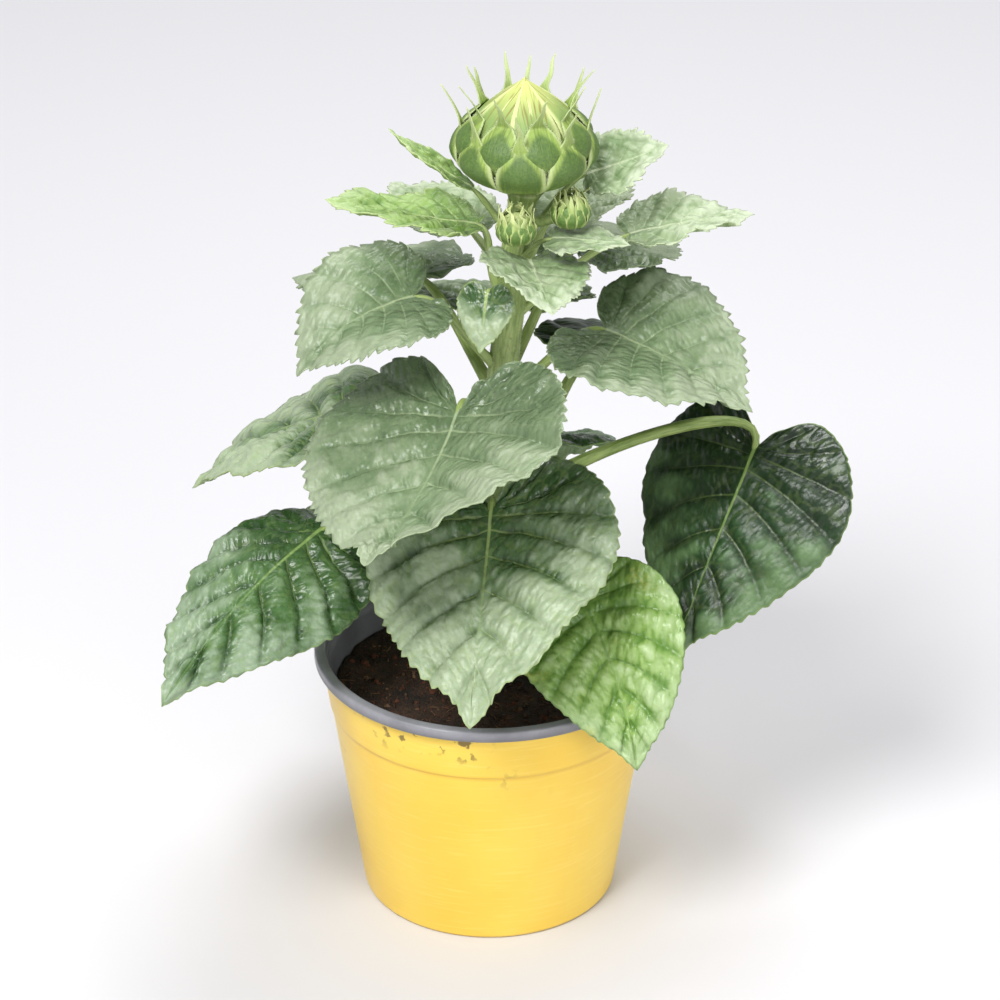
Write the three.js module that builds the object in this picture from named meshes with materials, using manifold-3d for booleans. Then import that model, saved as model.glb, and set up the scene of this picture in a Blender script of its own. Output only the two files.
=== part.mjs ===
// A young sunflower with one large closed bud, growing in a round plastic pot.
// Millimetres, +Z up, -Y is the front, and the origin is the middle of the pot's flat underside.
// Turns are in degrees round the stem, seen from above: 0 is the front, 90 the right (+X).

import * as THREE from 'three';
import { mergeVertices } from 'three/addons/utils/BufferGeometryUtils.js';
import Module from 'manifold-3d';

const wasm = await Module();
wasm.setup();

// Space left between pieces that rest on each other
const GAP = 0.3;

// Pot: a tapered outer wall, a dark lining with a rolled rim, and the soil in it
const POT_HEIGHT = 100;
const RIM_RADIUS = 65;
const RIM_WIDTH = 4.2;
const RIM_DROP = 4.4;
const RIM_BEVEL = 0.9;
const RIM_THROAT = 3;
const POT_BASE_RADIUS = 47.5;
const POT_TOP_RADIUS = 61.7;
const POT_WALL = 1.4;
const POT_FLOOR = 2;
const POT_COLLAR_LEVEL = 77;
const POT_COLLAR_STEP = 0.6;
const POT_SIDES = 40;
const DRAIN_COUNT = 6;
const DRAIN_RADIUS = 4;
const DRAIN_SIDES = 10;
const DRAIN_CIRCLE = 36;
const SOIL_LEVEL = 87;
const SOIL_FLAT_RADIUS = 14;
const SOIL_EDGE_DROP = 3;

// Stem: stands on the soil and leans a little to the right on its way up
const STEM_FOOT = SOIL_LEVEL + GAP;
const STEM_TOP = 284;
const STEM_LEAN = 12.5;
const STEM_FOOT_RADIUS = 6.6;
const STEM_TOP_RADIUS = 4.6;
const STEM_FLARE = 1.8;
const STEM_FLARE_HEIGHT = 9;
const STEM_SIDES = 12;
const STEM_STEPS = 12;

// Leaf blades
const BLADE_THICKNESS_SHARE = 0.0125;
const BLADE_LEAST_THICKNESS = 0.7;
const SMALL_LEAF = 55;
const BLADE_GRID = { rows: 8, columns: 3 };
const SMALL_BLADE_GRID = { rows: 6, columns: 2 };

// Leaf stalks. A stalk's curve leads outward and upward from the stem and comes to the notch along
// the blade, each by a share of its span, and then goes on under the blade as a thinning rib.
const STALK_RADIUS_SHARE = 0.022;
const STALK_LEAST_RADIUS = 0.3;
const STALK_FLARE = 1.35;
const STALK_OUT = 0.34;
const STALK_UP = 0.30;
const STALK_ENTRY = 0.25;
const STALK_GRID = { points: 4, steps: 7, sides: 6 };
const SMALL_STALK_GRID = { points: 3, steps: 5, sides: 5 };
const NOTCH_DROP = 0.4;
const RIB_REACH = 0.42;
const RIB_DROP = 0.5;
const RIB_END_DROP = 0.2;
const RIB_END_RADIUS = 0.3;

// Half outlines of a blade from its notch to its tip, as shares of half its width and of its length
const BROAD_OUTLINE = [
  [0, 0], [0.16, -0.13], [0.45, -0.22], [0.80, -0.12], [1.0, 0.12],
  [0.92, 0.36], [0.63, 0.61], [0.27, 0.84], [0, 1],
];
const SLIM_OUTLINE = [
  [0, 0], [0.25, -0.03], [0.52, 0.02], [0.80, 0.12], [1.0, 0.28],
  [0.90, 0.48], [0.62, 0.70], [0.28, 0.88], [0, 1],
];
// Where the side veins that reach those points leave the midrib, as shares of the length
const VEIN_ROOTS = [0, 0.01, 0.03, 0.09, 0.22, 0.40, 0.60, 0.81, 1];

// Bud: a closed flower head, given by its radius as a share of the largest and its height in mm
const BUD_BASE = STEM_TOP + GAP;
const BUD_RADIUS = 22.5;
const BUD_PROFILE = [
  [0.20, 0], [0.50, 2.5], [0.80, 7], [0.96, 12], [1.0, 17], [0.95, 23], [0.78, 30], [0.48, 35], [0.20, 38],
];
const BUD_SIDES = 16;

// Rings of bracts round the bud: start turns a ring, low and top are heights above the bud's base,
// and spread is how far the tips stand outside the bud
const BRACT_RINGS = [
  { count: 8, start: -4, low: 3, top: 38, width: 16.5, spread: 5 },
  { count: 8, start: 18.5, low: 16, top: 42, width: 15, spread: 1 },
];

// Stations up a bract, as shares of its height and width, with how far it stands off the head.
// Above the neck the bract leaves the head and runs up to its tip.
const BRACT_STATIONS = [
  { up: 0, width: 0.5, off: -0.4, thick: 1.8 },
  { up: 0.16, width: 0.9, off: 1.2, thick: 2.6 },
  { up: 0.36, width: 1, off: 1.8, thick: 2.8 },
  { up: 0.56, width: 0.66, off: 1.6, thick: 2 },
  { up: 0.70, width: 0.28, off: 0, thick: 1.4 },
  { up: 1, width: 0.07, off: 0, thick: 0.8 },
];
const BRACT_NECK = 0.56;
const BRACT_WRAP = 0.5;

// Side buds on short stalks under the main bud, each a ball with a few narrow upright bracts
const SIDE_BUDS = [
  { name: 'side_bud_left', node: 268, turn: -3, reach: 19, top: 286, radius: 6.4 },
  { name: 'side_bud_right', node: 270, turn: 60, reach: 20.5, top: 288.5, radius: 6.4 },
];
const SIDE_BUD_GRID = { sides: 9, rows: 6 };
const SIDE_BRACTS = 6;
const SIDE_BRACT_LOW = -0.7;
const SIDE_BRACT_TOP = 1.35;
const SIDE_BRACT_WIDTH = 0.8;
const SIDE_BRACT_THICKNESS = 1.8;
const SIDE_BRACT_CLOSE = 0.35;
const SIDE_STALK_SHARE = 0.3;
const SIDE_STALK_OUT = 0.6;
const SIDE_STALK_UP = 0.2;

// Leaves from the bottom up. node is the height of the leaf stalk's foot on the stem. turn, reach and
// rise lead from there to the blade's notch. head is where the blade points, pitch its slope at the
// notch, bend the slope it gains to the tip, roll its tilt to the side, fold the lift of its halves,
// cup the curl of their edges, and slim how far its outline is the slim one.
const LEAVES = [
  { node: 112, turn: 44, reach: 47, rise: 27, length: 68, width: 62,
    head: 30, pitch: -30, bend: -45, roll: 25, fold: 18, cup: -25, slim: 0.5 },
  { node: 112, turn: -148, reach: 52, rise: 30, length: 80, width: 70,
    head: -150, pitch: -20, bend: -40, roll: 0, fold: 8, cup: -20, slim: 0.2 },
  { node: 118, turn: -80, reach: 62, rise: 36, length: 100, width: 68,
    head: -35, pitch: -2, bend: -30, roll: -15, fold: -20, cup: -15, slim: 0.3 },
  { node: 125, turn: 168, reach: 50, rise: 36, length: 82, width: 76,
    head: 168, pitch: -18, bend: -35, roll: 0, fold: 8, cup: -20, slim: 0.1 },
  { node: 138, turn: 0, reach: 31, rise: 35, length: 88, width: 95,
    head: -6, pitch: -30, bend: -5, roll: 14, fold: 6, cup: -25, slim: 0 },
  { node: 145, turn: 130, reach: 52, rise: 58, length: 80, width: 74,
    head: 126, pitch: -12, bend: -32, roll: 0, fold: 8, cup: -20, slim: 0.1 },
  { node: 150, turn: -112, reach: 52, rise: 38, length: 80, width: 78,
    head: -105, pitch: -15, bend: -35, roll: 0, fold: 8, cup: -20, slim: 0.1 },
  { node: 154, turn: 95, reach: 96, rise: 23, length: 84, width: 86,
    head: -40, pitch: -52, bend: -5, roll: -5, fold: -5, cup: -15, slim: 0.1 },
  { node: 172, turn: -20, reach: 38, rise: 43, length: 88, width: 106,
    head: -22, pitch: -32, bend: 38, roll: 18, fold: 12, cup: -12, slim: 0 },
  { node: 185, turn: 180, reach: 45, rise: 35, length: 74, width: 72,
    head: 180, pitch: -10, bend: -30, roll: 0, fold: 8, cup: -20, slim: 0.1 },
  { node: 200, turn: 86, reach: 38, rise: 30, length: 62, width: 80,
    head: 60, pitch: -6, bend: -22, roll: 6, fold: 15, cup: -15, slim: 0.1 },
  { node: 200, turn: -135, reach: 44, rise: 36, length: 68, width: 64,
    head: -135, pitch: -5, bend: -30, roll: 0, fold: 8, cup: -20, slim: 0.2 },
  { node: 208, turn: 140, reach: 42, rise: 38, length: 64, width: 62,
    head: 145, pitch: -5, bend: -30, roll: 0, fold: 8, cup: -20, slim: 0.2 },
  { node: 213, turn: -75, reach: 33, rise: 33, length: 52, width: 62,
    head: -68, pitch: 0, bend: -55, roll: -12, fold: 18, cup: -15, slim: 0.2 },
  { node: 232, turn: 97, reach: 44, rise: 32, length: 45, width: 38,
    head: 98, pitch: 15, bend: -18, roll: 0, fold: 15, cup: -10, slim: 0.6 },
  { node: 236, turn: -40, reach: 12, rise: 12, length: 22, width: 21,
    head: -15, pitch: -55, bend: -15, roll: 0, fold: 8, cup: -20, slim: 0.2 },
  { node: 238, turn: 148, reach: 30, rise: 24, length: 50, width: 40,
    head: 146, pitch: 10, bend: -25, roll: 0, fold: 12, cup: -10, slim: 0.5 },
  { node: 240, turn: -95, reach: 12, rise: 30, length: 54, width: 33,
    head: -91, pitch: 10, bend: 0, roll: 0, fold: 12, cup: -10, slim: 0.8 },
  { node: 243, turn: -148, reach: 30, rise: 15, length: 48, width: 38,
    head: -144, pitch: 10, bend: -20, roll: 0, fold: 12, cup: -10, slim: 0.5 },
  { node: 245, turn: 18, reach: 20, rise: 20, length: 38, width: 39,
    head: 12, pitch: 0, bend: -10, roll: -10, fold: 12, cup: -10, slim: 0.2 },
  { node: 255, turn: 44, reach: 19, rise: 16, length: 28, width: 26,
    head: 78, pitch: 8, bend: -16, roll: 0, fold: 6, cup: -10, slim: 0.6 },
  { node: 260, turn: 175, reach: 18, rise: 16, length: 38, width: 22,
    head: 175, pitch: 25, bend: -10, roll: 0, fold: 10, cup: 0, slim: 0.8 },
  { node: 262, turn: 108, reach: 26, rise: 24, length: 31, width: 30,
    head: 88, pitch: 22, bend: 0, roll: 25, fold: 8, cup: 0, slim: 0.7 },
  { node: 264, turn: -108, reach: 17, rise: 18, length: 37, width: 15,
    head: -90, pitch: 38, bend: 0, roll: 0, fold: 10, cup: 0, slim: 1 },
];

const UP = new THREE.Vector3(0, 0, 1);

const PAINT = {
  pot: new THREE.MeshStandardMaterial({ color: 0xf0c840, roughness: 0.35, metalness: 0 }),
  lining: new THREE.MeshStandardMaterial({ color: 0x2b2c2c, roughness: 0.45, metalness: 0 }),
  soil: new THREE.MeshStandardMaterial({ color: 0x1d1411, roughness: 1, metalness: 0 }),
  stem: new THREE.MeshStandardMaterial({ color: 0x8c9c4a, roughness: 0.7, metalness: 0 }),
  oldLeaf: new THREE.MeshStandardMaterial({ color: 0x3c6b35, roughness: 0.4, metalness: 0 }),
  youngLeaf: new THREE.MeshStandardMaterial({ color: 0x86a06e, roughness: 0.6, metalness: 0 }),
  bud: new THREE.MeshStandardMaterial({ color: 0xa9b96a, roughness: 0.6, metalness: 0 }),
};

function radians(degrees) {
  return degrees * Math.PI / 180;
}

// Level direction of a turn round the stem
function outward(turn) {
  return new THREE.Vector3(Math.sin(radians(turn)), -Math.cos(radians(turn)), 0);
}

function mix(a, b, share) {
  return a + (b - a) * share;
}

// Closed geometry to a solid that can be joined and cut, with its faces turned out
function toSolid(geometry) {
  const bare = geometry.clone();
  bare.deleteAttribute('normal');
  bare.deleteAttribute('uv');
  const merged = mergeVertices(bare, 1e-4);
  const corners = merged.index.array;
  const triangles = [];
  for (let i = 0; i < corners.length; i += 3) {
    const [a, b, c] = [corners[i], corners[i + 1], corners[i + 2]];
    if (a !== b && b !== c && c !== a) {
      triangles.push(a, b, c);
    }
  }
  return new wasm.Manifold(new wasm.Mesh({
    numProp: 3,
    vertProperties: new Float32Array(merged.attributes.position.array),
    triVerts: new Uint32Array(triangles),
  }));
}

function toGeometry(solid) {
  const mesh = solid.getMesh();
  const geometry = new THREE.BufferGeometry();
  geometry.setAttribute('position', new THREE.BufferAttribute(mesh.vertProperties, 3));
  geometry.setIndex(new THREE.BufferAttribute(mesh.triVerts, 1));
  geometry.computeVertexNormals();
  return geometry;
}

function namedMesh(name, solid, material) {
  const mesh = new THREE.Mesh(toGeometry(solid), material);
  mesh.name = name;
  return mesh;
}

// Indexed geometry from points and triangles
function faceted(points, triangles) {
  const geometry = new THREE.BufferGeometry();
  geometry.setFromPoints(points);
  geometry.setIndex(triangles);
  return geometry;
}

// Solid through rings of points, each ring running anticlockwise round the way that the rings go
function loft(rings) {
  const sides = rings[0].length;
  const last = (rings.length - 1) * sides;
  const triangles = [];
  for (let i = 0; i + 1 < rings.length; i += 1) {
    for (let j = 0; j < sides; j += 1) {
      const next = (j + 1) % sides;
      const [a, b] = [i * sides + j, i * sides + next];
      triangles.push(a, b, b + sides, a, b + sides, a + sides);
    }
  }
  for (let j = 1; j + 1 < sides; j += 1) {
    triangles.push(0, j + 1, j);
    triangles.push(last, last + j, last + j + 1);
  }
  return faceted(rings.flat(), triangles);
}

// Round tube along a curve, with its radius given along the way
function taperedTube(curve, steps, sides, radiusAt) {
  const frames = curve.computeFrenetFrames(steps, false);
  const rings = [];
  for (let i = 0; i <= steps; i += 1) {
    const centre = curve.getPointAt(i / steps);
    const radius = radiusAt(i / steps);
    const ring = [];
    for (let j = 0; j < sides; j += 1) {
      const angle = 2 * Math.PI * j / sides;
      ring.push(centre.clone()
        .addScaledVector(frames.normals[i], radius * Math.cos(angle))
        .addScaledVector(frames.binormals[i], radius * Math.sin(angle)));
    }
    rings.push(ring);
  }
  return loft(rings);
}

// Solid of revolution about the upright line through the origin
function turned(profile, sides) {
  const points = profile.map(([radius, height]) => new THREE.Vector2(radius, height));
  return toSolid(new THREE.LatheGeometry(points, sides).rotateX(Math.PI / 2));
}

// Outer radius of the pot's plain tapered wall at a height
function potRadius(height) {
  return mix(POT_BASE_RADIUS, POT_TOP_RADIUS, height / (POT_HEIGHT - RIM_DROP));
}

function potSolid() {
  const top = POT_HEIGHT - RIM_DROP - GAP;
  const step = POT_COLLAR_STEP;
  let pot = turned([
    [0, 0],
    [POT_BASE_RADIUS - 1, 0],
    [POT_BASE_RADIUS, 1],
    [potRadius(POT_COLLAR_LEVEL), POT_COLLAR_LEVEL],
    [potRadius(POT_COLLAR_LEVEL) + step, POT_COLLAR_LEVEL + step],
    [potRadius(top) + step, top],
    [potRadius(top) - POT_WALL, top],
    [potRadius(POT_FLOOR) - POT_WALL, POT_FLOOR],
    [0, POT_FLOOR],
  ], POT_SIDES);
  for (let i = 0; i < DRAIN_COUNT; i += 1) {
    const place = outward(360 * i / DRAIN_COUNT).multiplyScalar(DRAIN_CIRCLE);
    const drill = new THREE.CylinderGeometry(DRAIN_RADIUS, DRAIN_RADIUS, 4 * POT_FLOOR, DRAIN_SIDES);
    pot = pot.subtract(toSolid(drill.rotateX(Math.PI / 2).translate(place.x, place.y, 0)));
  }
  return pot;
}

function liningRadius(height) {
  return potRadius(height) - POT_WALL - GAP;
}

function liningSolid() {
  const foot = POT_FLOOR + GAP;
  const underRim = POT_HEIGHT - RIM_DROP;
  const rimInside = RIM_RADIUS - RIM_WIDTH;
  return turned([
    [liningRadius(foot) - POT_WALL, foot],
    [liningRadius(foot), foot],
    [liningRadius(underRim), underRim],
    [RIM_RADIUS - RIM_BEVEL / 2, underRim],
    [RIM_RADIUS, underRim + RIM_BEVEL],
    [RIM_RADIUS, POT_HEIGHT - RIM_BEVEL],
    [RIM_RADIUS - RIM_BEVEL, POT_HEIGHT],
    [rimInside + RIM_BEVEL / 2, POT_HEIGHT],
    [rimInside, POT_HEIGHT - RIM_BEVEL],
    [liningRadius(underRim) - POT_WALL, underRim - RIM_THROAT],
    [liningRadius(foot) - POT_WALL, foot],
  ], POT_SIDES);
}

function soilSolid() {
  const foot = POT_FLOOR + GAP;
  const edge = SOIL_LEVEL - SOIL_EDGE_DROP;
  return turned([
    [0, foot],
    [liningRadius(foot) - POT_WALL - GAP, foot],
    [liningRadius(edge) - POT_WALL - GAP, edge],
    [mix(SOIL_FLAT_RADIUS, liningRadius(edge), 1 / 2), SOIL_LEVEL - SOIL_EDGE_DROP / 3],
    [SOIL_FLAT_RADIUS, SOIL_LEVEL],
    [0, SOIL_LEVEL],
  ], POT_SIDES);
}

// Middle of the stem at a height
function stemPoint(height) {
  const share = (height - STEM_FOOT) / (STEM_TOP - STEM_FOOT);
  return new THREE.Vector3(STEM_LEAN * share * share, 0, height);
}

function stemRadius(height) {
  const share = (height - STEM_FOOT) / (STEM_TOP - STEM_FOOT);
  const flare = STEM_FLARE * Math.max(0, 1 - (height - STEM_FOOT) / STEM_FLARE_HEIGHT) ** 2;
  return mix(STEM_FOOT_RADIUS, STEM_TOP_RADIUS, share) + flare;
}

// The stem with level rings, or the space round it that other pieces keep out of
function stemSolid(spare) {
  const rings = [];
  const heights = [STEM_FOOT - spare, STEM_FOOT + STEM_FLARE_HEIGHT / 2];
  for (let i = 1; i <= STEM_STEPS; i += 1) {
    heights.push(mix(STEM_FOOT + STEM_FLARE_HEIGHT, STEM_TOP + spare, (i - 1) / (STEM_STEPS - 1)));
  }
  for (const height of heights) {
    const centre = stemPoint(height);
    const radius = (stemRadius(height) + spare) / Math.cos(spare > 0 ? Math.PI / STEM_SIDES : 0);
    const ring = [];
    for (let j = 0; j < STEM_SIDES; j += 1) {
      ring.push(outward(360 * j / STEM_SIDES).multiplyScalar(radius).add(centre));
    }
    rings.push(ring);
  }
  return toSolid(loft(rings));
}

// Curve through the points of an outline, with as many even steps as it has points
function outlineCurve(outline) {
  const points = outline.map(([x, y]) => new THREE.Vector3(x, y, 0));
  return new THREE.CatmullRomCurve3(points, false, 'catmullrom', 0.5);
}

const BROAD_CURVE = outlineCurve(BROAD_OUTLINE);
const SLIM_CURVE = outlineCurve(SLIM_OUTLINE);
const ROOT_CURVE = outlineCurve(VEIN_ROOTS.map((share) => [share, 0]));

// Point of the flat blade in millimetres: along runs from notch to tip, across from midrib to edge
function flatPoint(leaf, along, across) {
  const edge = BROAD_CURVE.getPoint(along).lerp(SLIM_CURVE.getPoint(along), leaf.slim);
  const root = ROOT_CURVE.getPoint(along).x;
  const side = Math.abs(across);
  return {
    x: Math.sign(across) * edge.x * side * leaf.width / 2,
    y: mix(root, edge.y, side) * leaf.length,
  };
}

// Way travelled level and upward along an arc whose slope goes from start by gain over a length
function arc(start, gain, length, way) {
  const turnRate = Math.abs(gain) < 1e-6 ? 1e-6 : gain;
  const end = start + turnRate * way / length;
  const scale = length / turnRate;
  return {
    level: scale * (Math.sin(end) - Math.sin(start)),
    rise: scale * (Math.cos(start) - Math.cos(end)),
    slope: end,
  };
}

// Notch of the blade, where the leaf stalk meets it
function notch(leaf) {
  return stemPoint(leaf.node).addScaledVector(outward(leaf.turn), leaf.reach).addScaledVector(UP, leaf.rise);
}

// Place of a flat blade point on the bent, folded and rolled blade, lifted off it by lift
function bladePoint(leaf, flat, lift) {
  const head = outward(leaf.head);
  const side = head.clone().cross(UP);
  const rib = arc(radians(leaf.pitch), radians(leaf.bend), leaf.length, flat.y);
  const along = head.clone().multiplyScalar(Math.cos(rib.slope)).addScaledVector(UP, Math.sin(rib.slope));
  const normal = side.clone().cross(along);
  side.applyAxisAngle(along, radians(leaf.roll));
  normal.applyAxisAngle(along, radians(leaf.roll));
  const half = arc(radians(leaf.fold), radians(leaf.cup), leaf.width / 2, Math.abs(flat.x));
  const hand = Math.sign(flat.x);
  const sideways = half.level - lift * Math.sin(half.slope);
  const upward = half.rise + lift * Math.cos(half.slope);
  return notch(leaf)
    .addScaledVector(head, rib.level)
    .addScaledVector(UP, rib.rise)
    .addScaledVector(side, hand === 0 ? 0 : hand * sideways)
    .addScaledVector(normal, hand === 0 ? lift : upward);
}

// Blade as a thin body between an upper and a lower grid of points
function bladeSolid(leaf) {
  const { rows, columns } = leaf.length < SMALL_LEAF ? SMALL_BLADE_GRID : BLADE_GRID;
  const wide = 2 * columns + 1;
  const half = Math.max(BLADE_LEAST_THICKNESS, BLADE_THICKNESS_SHARE * leaf.length) / 2;
  const points = [];
  for (const lift of [half, -half]) {
    points.push(bladePoint(leaf, { x: 0, y: 0 }, lift));
    for (let i = 1; i < rows; i += 1) {
      for (let j = -columns; j <= columns; j += 1) {
        points.push(bladePoint(leaf, flatPoint(leaf, i / rows, j / columns), lift));
      }
    }
    points.push(bladePoint(leaf, { x: 0, y: leaf.length }, lift));
  }
  const layer = points.length / 2;
  const at = (i, j) => {
    if (i === 0) {
      return 0;
    }
    return i === rows ? layer - 1 : 1 + (i - 1) * wide + j;
  };
  const triangles = [];
  const addFace = (a, b, c) => {
    if (a !== b && b !== c && c !== a) {
      triangles.push(a, b, c, a + layer, c + layer, b + layer);
    }
  };
  const addEdge = (a, b) => {
    triangles.push(a, a + layer, b + layer, a, b + layer, b);
  };
  for (let i = 0; i < rows; i += 1) {
    for (let j = 0; j + 1 < wide; j += 1) {
      addFace(at(i, j), at(i, j + 1), at(i + 1, j + 1));
      addFace(at(i, j), at(i + 1, j + 1), at(i + 1, j));
    }
    addEdge(at(i, wide - 1), at(i + 1, wide - 1));
    addEdge(at(i + 1, 0), at(i, 0));
  }
  return toSolid(faceted(points, triangles));
}

// Leaf stalk from the middle of the stem to the notch, and on under the blade as its midrib
function stalkSolid(leaf) {
  const grid = leaf.length < SMALL_LEAF ? SMALL_STALK_GRID : STALK_GRID;
  const foot = stemPoint(leaf.node);
  const end = notch(leaf);
  const span = foot.distanceTo(end);
  const radius = STALK_RADIUS_SHARE * leaf.length + STALK_LEAST_RADIUS;
  const entry = outward(leaf.head).multiplyScalar(Math.cos(radians(leaf.pitch)))
    .addScaledVector(UP, Math.sin(radians(leaf.pitch)));
  const bow = new THREE.CubicBezierCurve3(
    foot,
    foot.clone().addScaledVector(outward(leaf.turn), STALK_OUT * span).addScaledVector(UP, STALK_UP * span),
    end.clone().addScaledVector(entry, -STALK_ENTRY * span),
    end,
  );
  const path = bow.getPoints(grid.points);
  path.at(-1).addScaledVector(UP, -NOTCH_DROP * radius);
  for (const share of [0.5, 1]) {
    const spot = { x: 0, y: share * RIB_REACH * leaf.length };
    path.push(bladePoint(leaf, spot, -radius * mix(RIB_DROP, RIB_END_DROP, share)));
  }
  const curve = new THREE.CatmullRomCurve3(path, false, 'centripetal');
  const split = span / curve.getLength();
  const stalkRadius = (share) => {
    if (share < split) {
      return radius * mix(STALK_FLARE, 1, Math.min(1, 2 * share / split));
    }
    return radius * mix(1, RIB_END_RADIUS, (share - split) / (1 - split));
  };
  return toSolid(taperedTube(curve, grid.steps, grid.sides, stalkRadius));
}

function leafSolid(leaf, keepOut) {
  return bladeSolid(leaf).add(stalkSolid(leaf)).subtract(keepOut);
}

// Radius of the closed flower head at a height above its base
function budRadius(height) {
  const above = BUD_PROFILE.findIndex((point) => point[1] >= height);
  if (above < 1) {
    return BUD_RADIUS * BUD_PROFILE.at(above)[0];
  }
  const [low, high] = [BUD_PROFILE[above - 1], BUD_PROFILE[above]];
  return BUD_RADIUS * mix(low[0], high[0], (height - low[1]) / (high[1] - low[1]));
}

// One bract: a round belly against its head and a long narrow tip that stands off it. The head
// has a centre, a radius and the radius at each height above the centre.
function bractSolid(head, turn, ring) {
  const out = outward(turn);
  const side = out.clone().cross(UP);
  const neck = mix(ring.low, ring.top, BRACT_NECK);
  const rings = BRACT_STATIONS.map((station) => {
    const height = mix(ring.low, ring.top, station.up);
    const past = Math.max(0, station.up - BRACT_NECK) / (1 - BRACT_NECK);
    const held = head.radiusAt(Math.min(height, neck)) + station.off * ring.scale;
    const radius = mix(held, head.radius + ring.spread, past);
    const middle = head.centre.clone().addScaledVector(out, radius).addScaledVector(UP, height);
    const half = station.width * ring.width / 2;
    const wrap = BRACT_WRAP * half * half / head.radius;
    const thickness = station.thick * ring.scale;
    return [
      middle.clone().addScaledVector(out, thickness / 2),
      middle.clone().addScaledVector(side, -half).addScaledVector(out, -wrap),
      middle.clone().addScaledVector(out, -thickness / 2),
      middle.clone().addScaledVector(side, half).addScaledVector(out, -wrap),
    ];
  });
  return toSolid(loft(rings));
}

// A head with its ring of bracts joined on
function withBracts(solid, head, ring) {
  let joined = solid;
  for (let i = 0; i < ring.count; i += 1) {
    joined = joined.add(bractSolid(head, ring.start + 360 * i / ring.count, ring));
  }
  return joined;
}

function budSolid() {
  const centre = stemPoint(STEM_TOP).setZ(BUD_BASE);
  const head = { centre, radius: BUD_RADIUS, radiusAt: budRadius };
  const profile = BUD_PROFILE.map(([share, height]) => [share * BUD_RADIUS, height]);
  let bud = turned([[0, 0], ...profile, [0, profile.at(-1)[1]]], BUD_SIDES);
  bud = bud.translate(centre.toArray());
  for (const ring of BRACT_RINGS) {
    bud = withBracts(bud, head, { ...ring, scale: 1 });
  }
  return bud;
}

// Side bud with its stalk and its ring of narrow bracts
function sideBudSolid(spec, keepOut) {
  const { radius } = spec;
  const foot = stemPoint(spec.node);
  const out = outward(spec.turn);
  const centre = foot.clone().addScaledVector(out, spec.reach).setZ(spec.top - SIDE_BRACT_TOP * radius);
  const ball = new THREE.SphereGeometry(radius, SIDE_BUD_GRID.sides, SIDE_BUD_GRID.rows);
  const lead = foot.clone().addScaledVector(out, SIDE_STALK_OUT * spec.reach);
  lead.addScaledVector(UP, SIDE_STALK_UP * spec.reach);
  const curve = new THREE.QuadraticBezierCurve3(foot, lead, centre);
  const stalk = taperedTube(curve, STALK_GRID.points, STALK_GRID.sides, () => SIDE_STALK_SHARE * radius);
  const head = { centre, radius, radiusAt: (height) => Math.sqrt(radius * radius - height * height) };
  const ring = {
    count: SIDE_BRACTS,
    start: spec.turn,
    low: SIDE_BRACT_LOW * radius,
    top: SIDE_BRACT_TOP * radius,
    width: SIDE_BRACT_WIDTH * radius,
    spread: -SIDE_BRACT_CLOSE * radius,
    scale: SIDE_BRACT_THICKNESS * radius / BUD_RADIUS,
  };
  const round = toSolid(ball.rotateX(Math.PI / 2).translate(...centre.toArray())).add(toSolid(stalk));
  return withBracts(round, head, ring).subtract(keepOut);
}

function leafName(place) {
  return `leaf_${String(place + 1).padStart(2, '0')}`;
}

const plant = new THREE.Group();
const keepOut = stemSolid(GAP);

plant.add(namedMesh('pot', potSolid(), PAINT.pot));
plant.add(namedMesh('pot_lining', liningSolid(), PAINT.lining));
plant.add(namedMesh('soil', soilSolid(), PAINT.soil));
plant.add(namedMesh('stem', stemSolid(0), PAINT.stem));
LEAVES.forEach((leaf, place) => {
  const material = leaf.length < SMALL_LEAF ? PAINT.youngLeaf : PAINT.oldLeaf;
  plant.add(namedMesh(leafName(place), leafSolid(leaf, keepOut), material));
});
for (const spec of SIDE_BUDS) {
  plant.add(namedMesh(spec.name, sideBudSolid(spec, keepOut), PAINT.youngLeaf));
}
plant.add(namedMesh('bud', budSolid(), PAINT.bud));

export default plant;
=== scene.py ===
# Looks of a young potted sunflower in bud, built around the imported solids.
# Sizes are in millimetres until a mesh is made. +Z is up, -Y is the front, and turns are in degrees
# round the stem, seen from above: 0 is the front, 90 the right.

import math

import bmesh
import bpy
import numpy as np
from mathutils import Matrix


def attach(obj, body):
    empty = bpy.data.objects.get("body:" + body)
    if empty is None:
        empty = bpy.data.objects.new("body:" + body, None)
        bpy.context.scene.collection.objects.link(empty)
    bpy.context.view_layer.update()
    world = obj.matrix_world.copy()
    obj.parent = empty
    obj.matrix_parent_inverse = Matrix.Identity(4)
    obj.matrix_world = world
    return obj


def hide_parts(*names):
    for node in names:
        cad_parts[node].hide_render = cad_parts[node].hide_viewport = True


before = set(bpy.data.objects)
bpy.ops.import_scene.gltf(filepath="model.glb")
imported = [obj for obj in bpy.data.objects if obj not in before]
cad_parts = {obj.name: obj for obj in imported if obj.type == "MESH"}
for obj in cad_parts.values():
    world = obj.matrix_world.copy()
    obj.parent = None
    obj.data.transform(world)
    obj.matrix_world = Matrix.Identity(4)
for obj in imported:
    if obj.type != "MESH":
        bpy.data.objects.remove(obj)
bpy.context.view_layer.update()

MM = 0.001
UP = np.array([0.0, 0.0, 1.0])
FRONT = np.array([0.0, -1.0, 0.0])
RIGHT = np.array([1.0, 0.0, 0.0])


def table(keys, rows):
    """Rows as dictionaries with the same keys."""
    return [dict(zip(keys.split(), row)) for row in rows]


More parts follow.
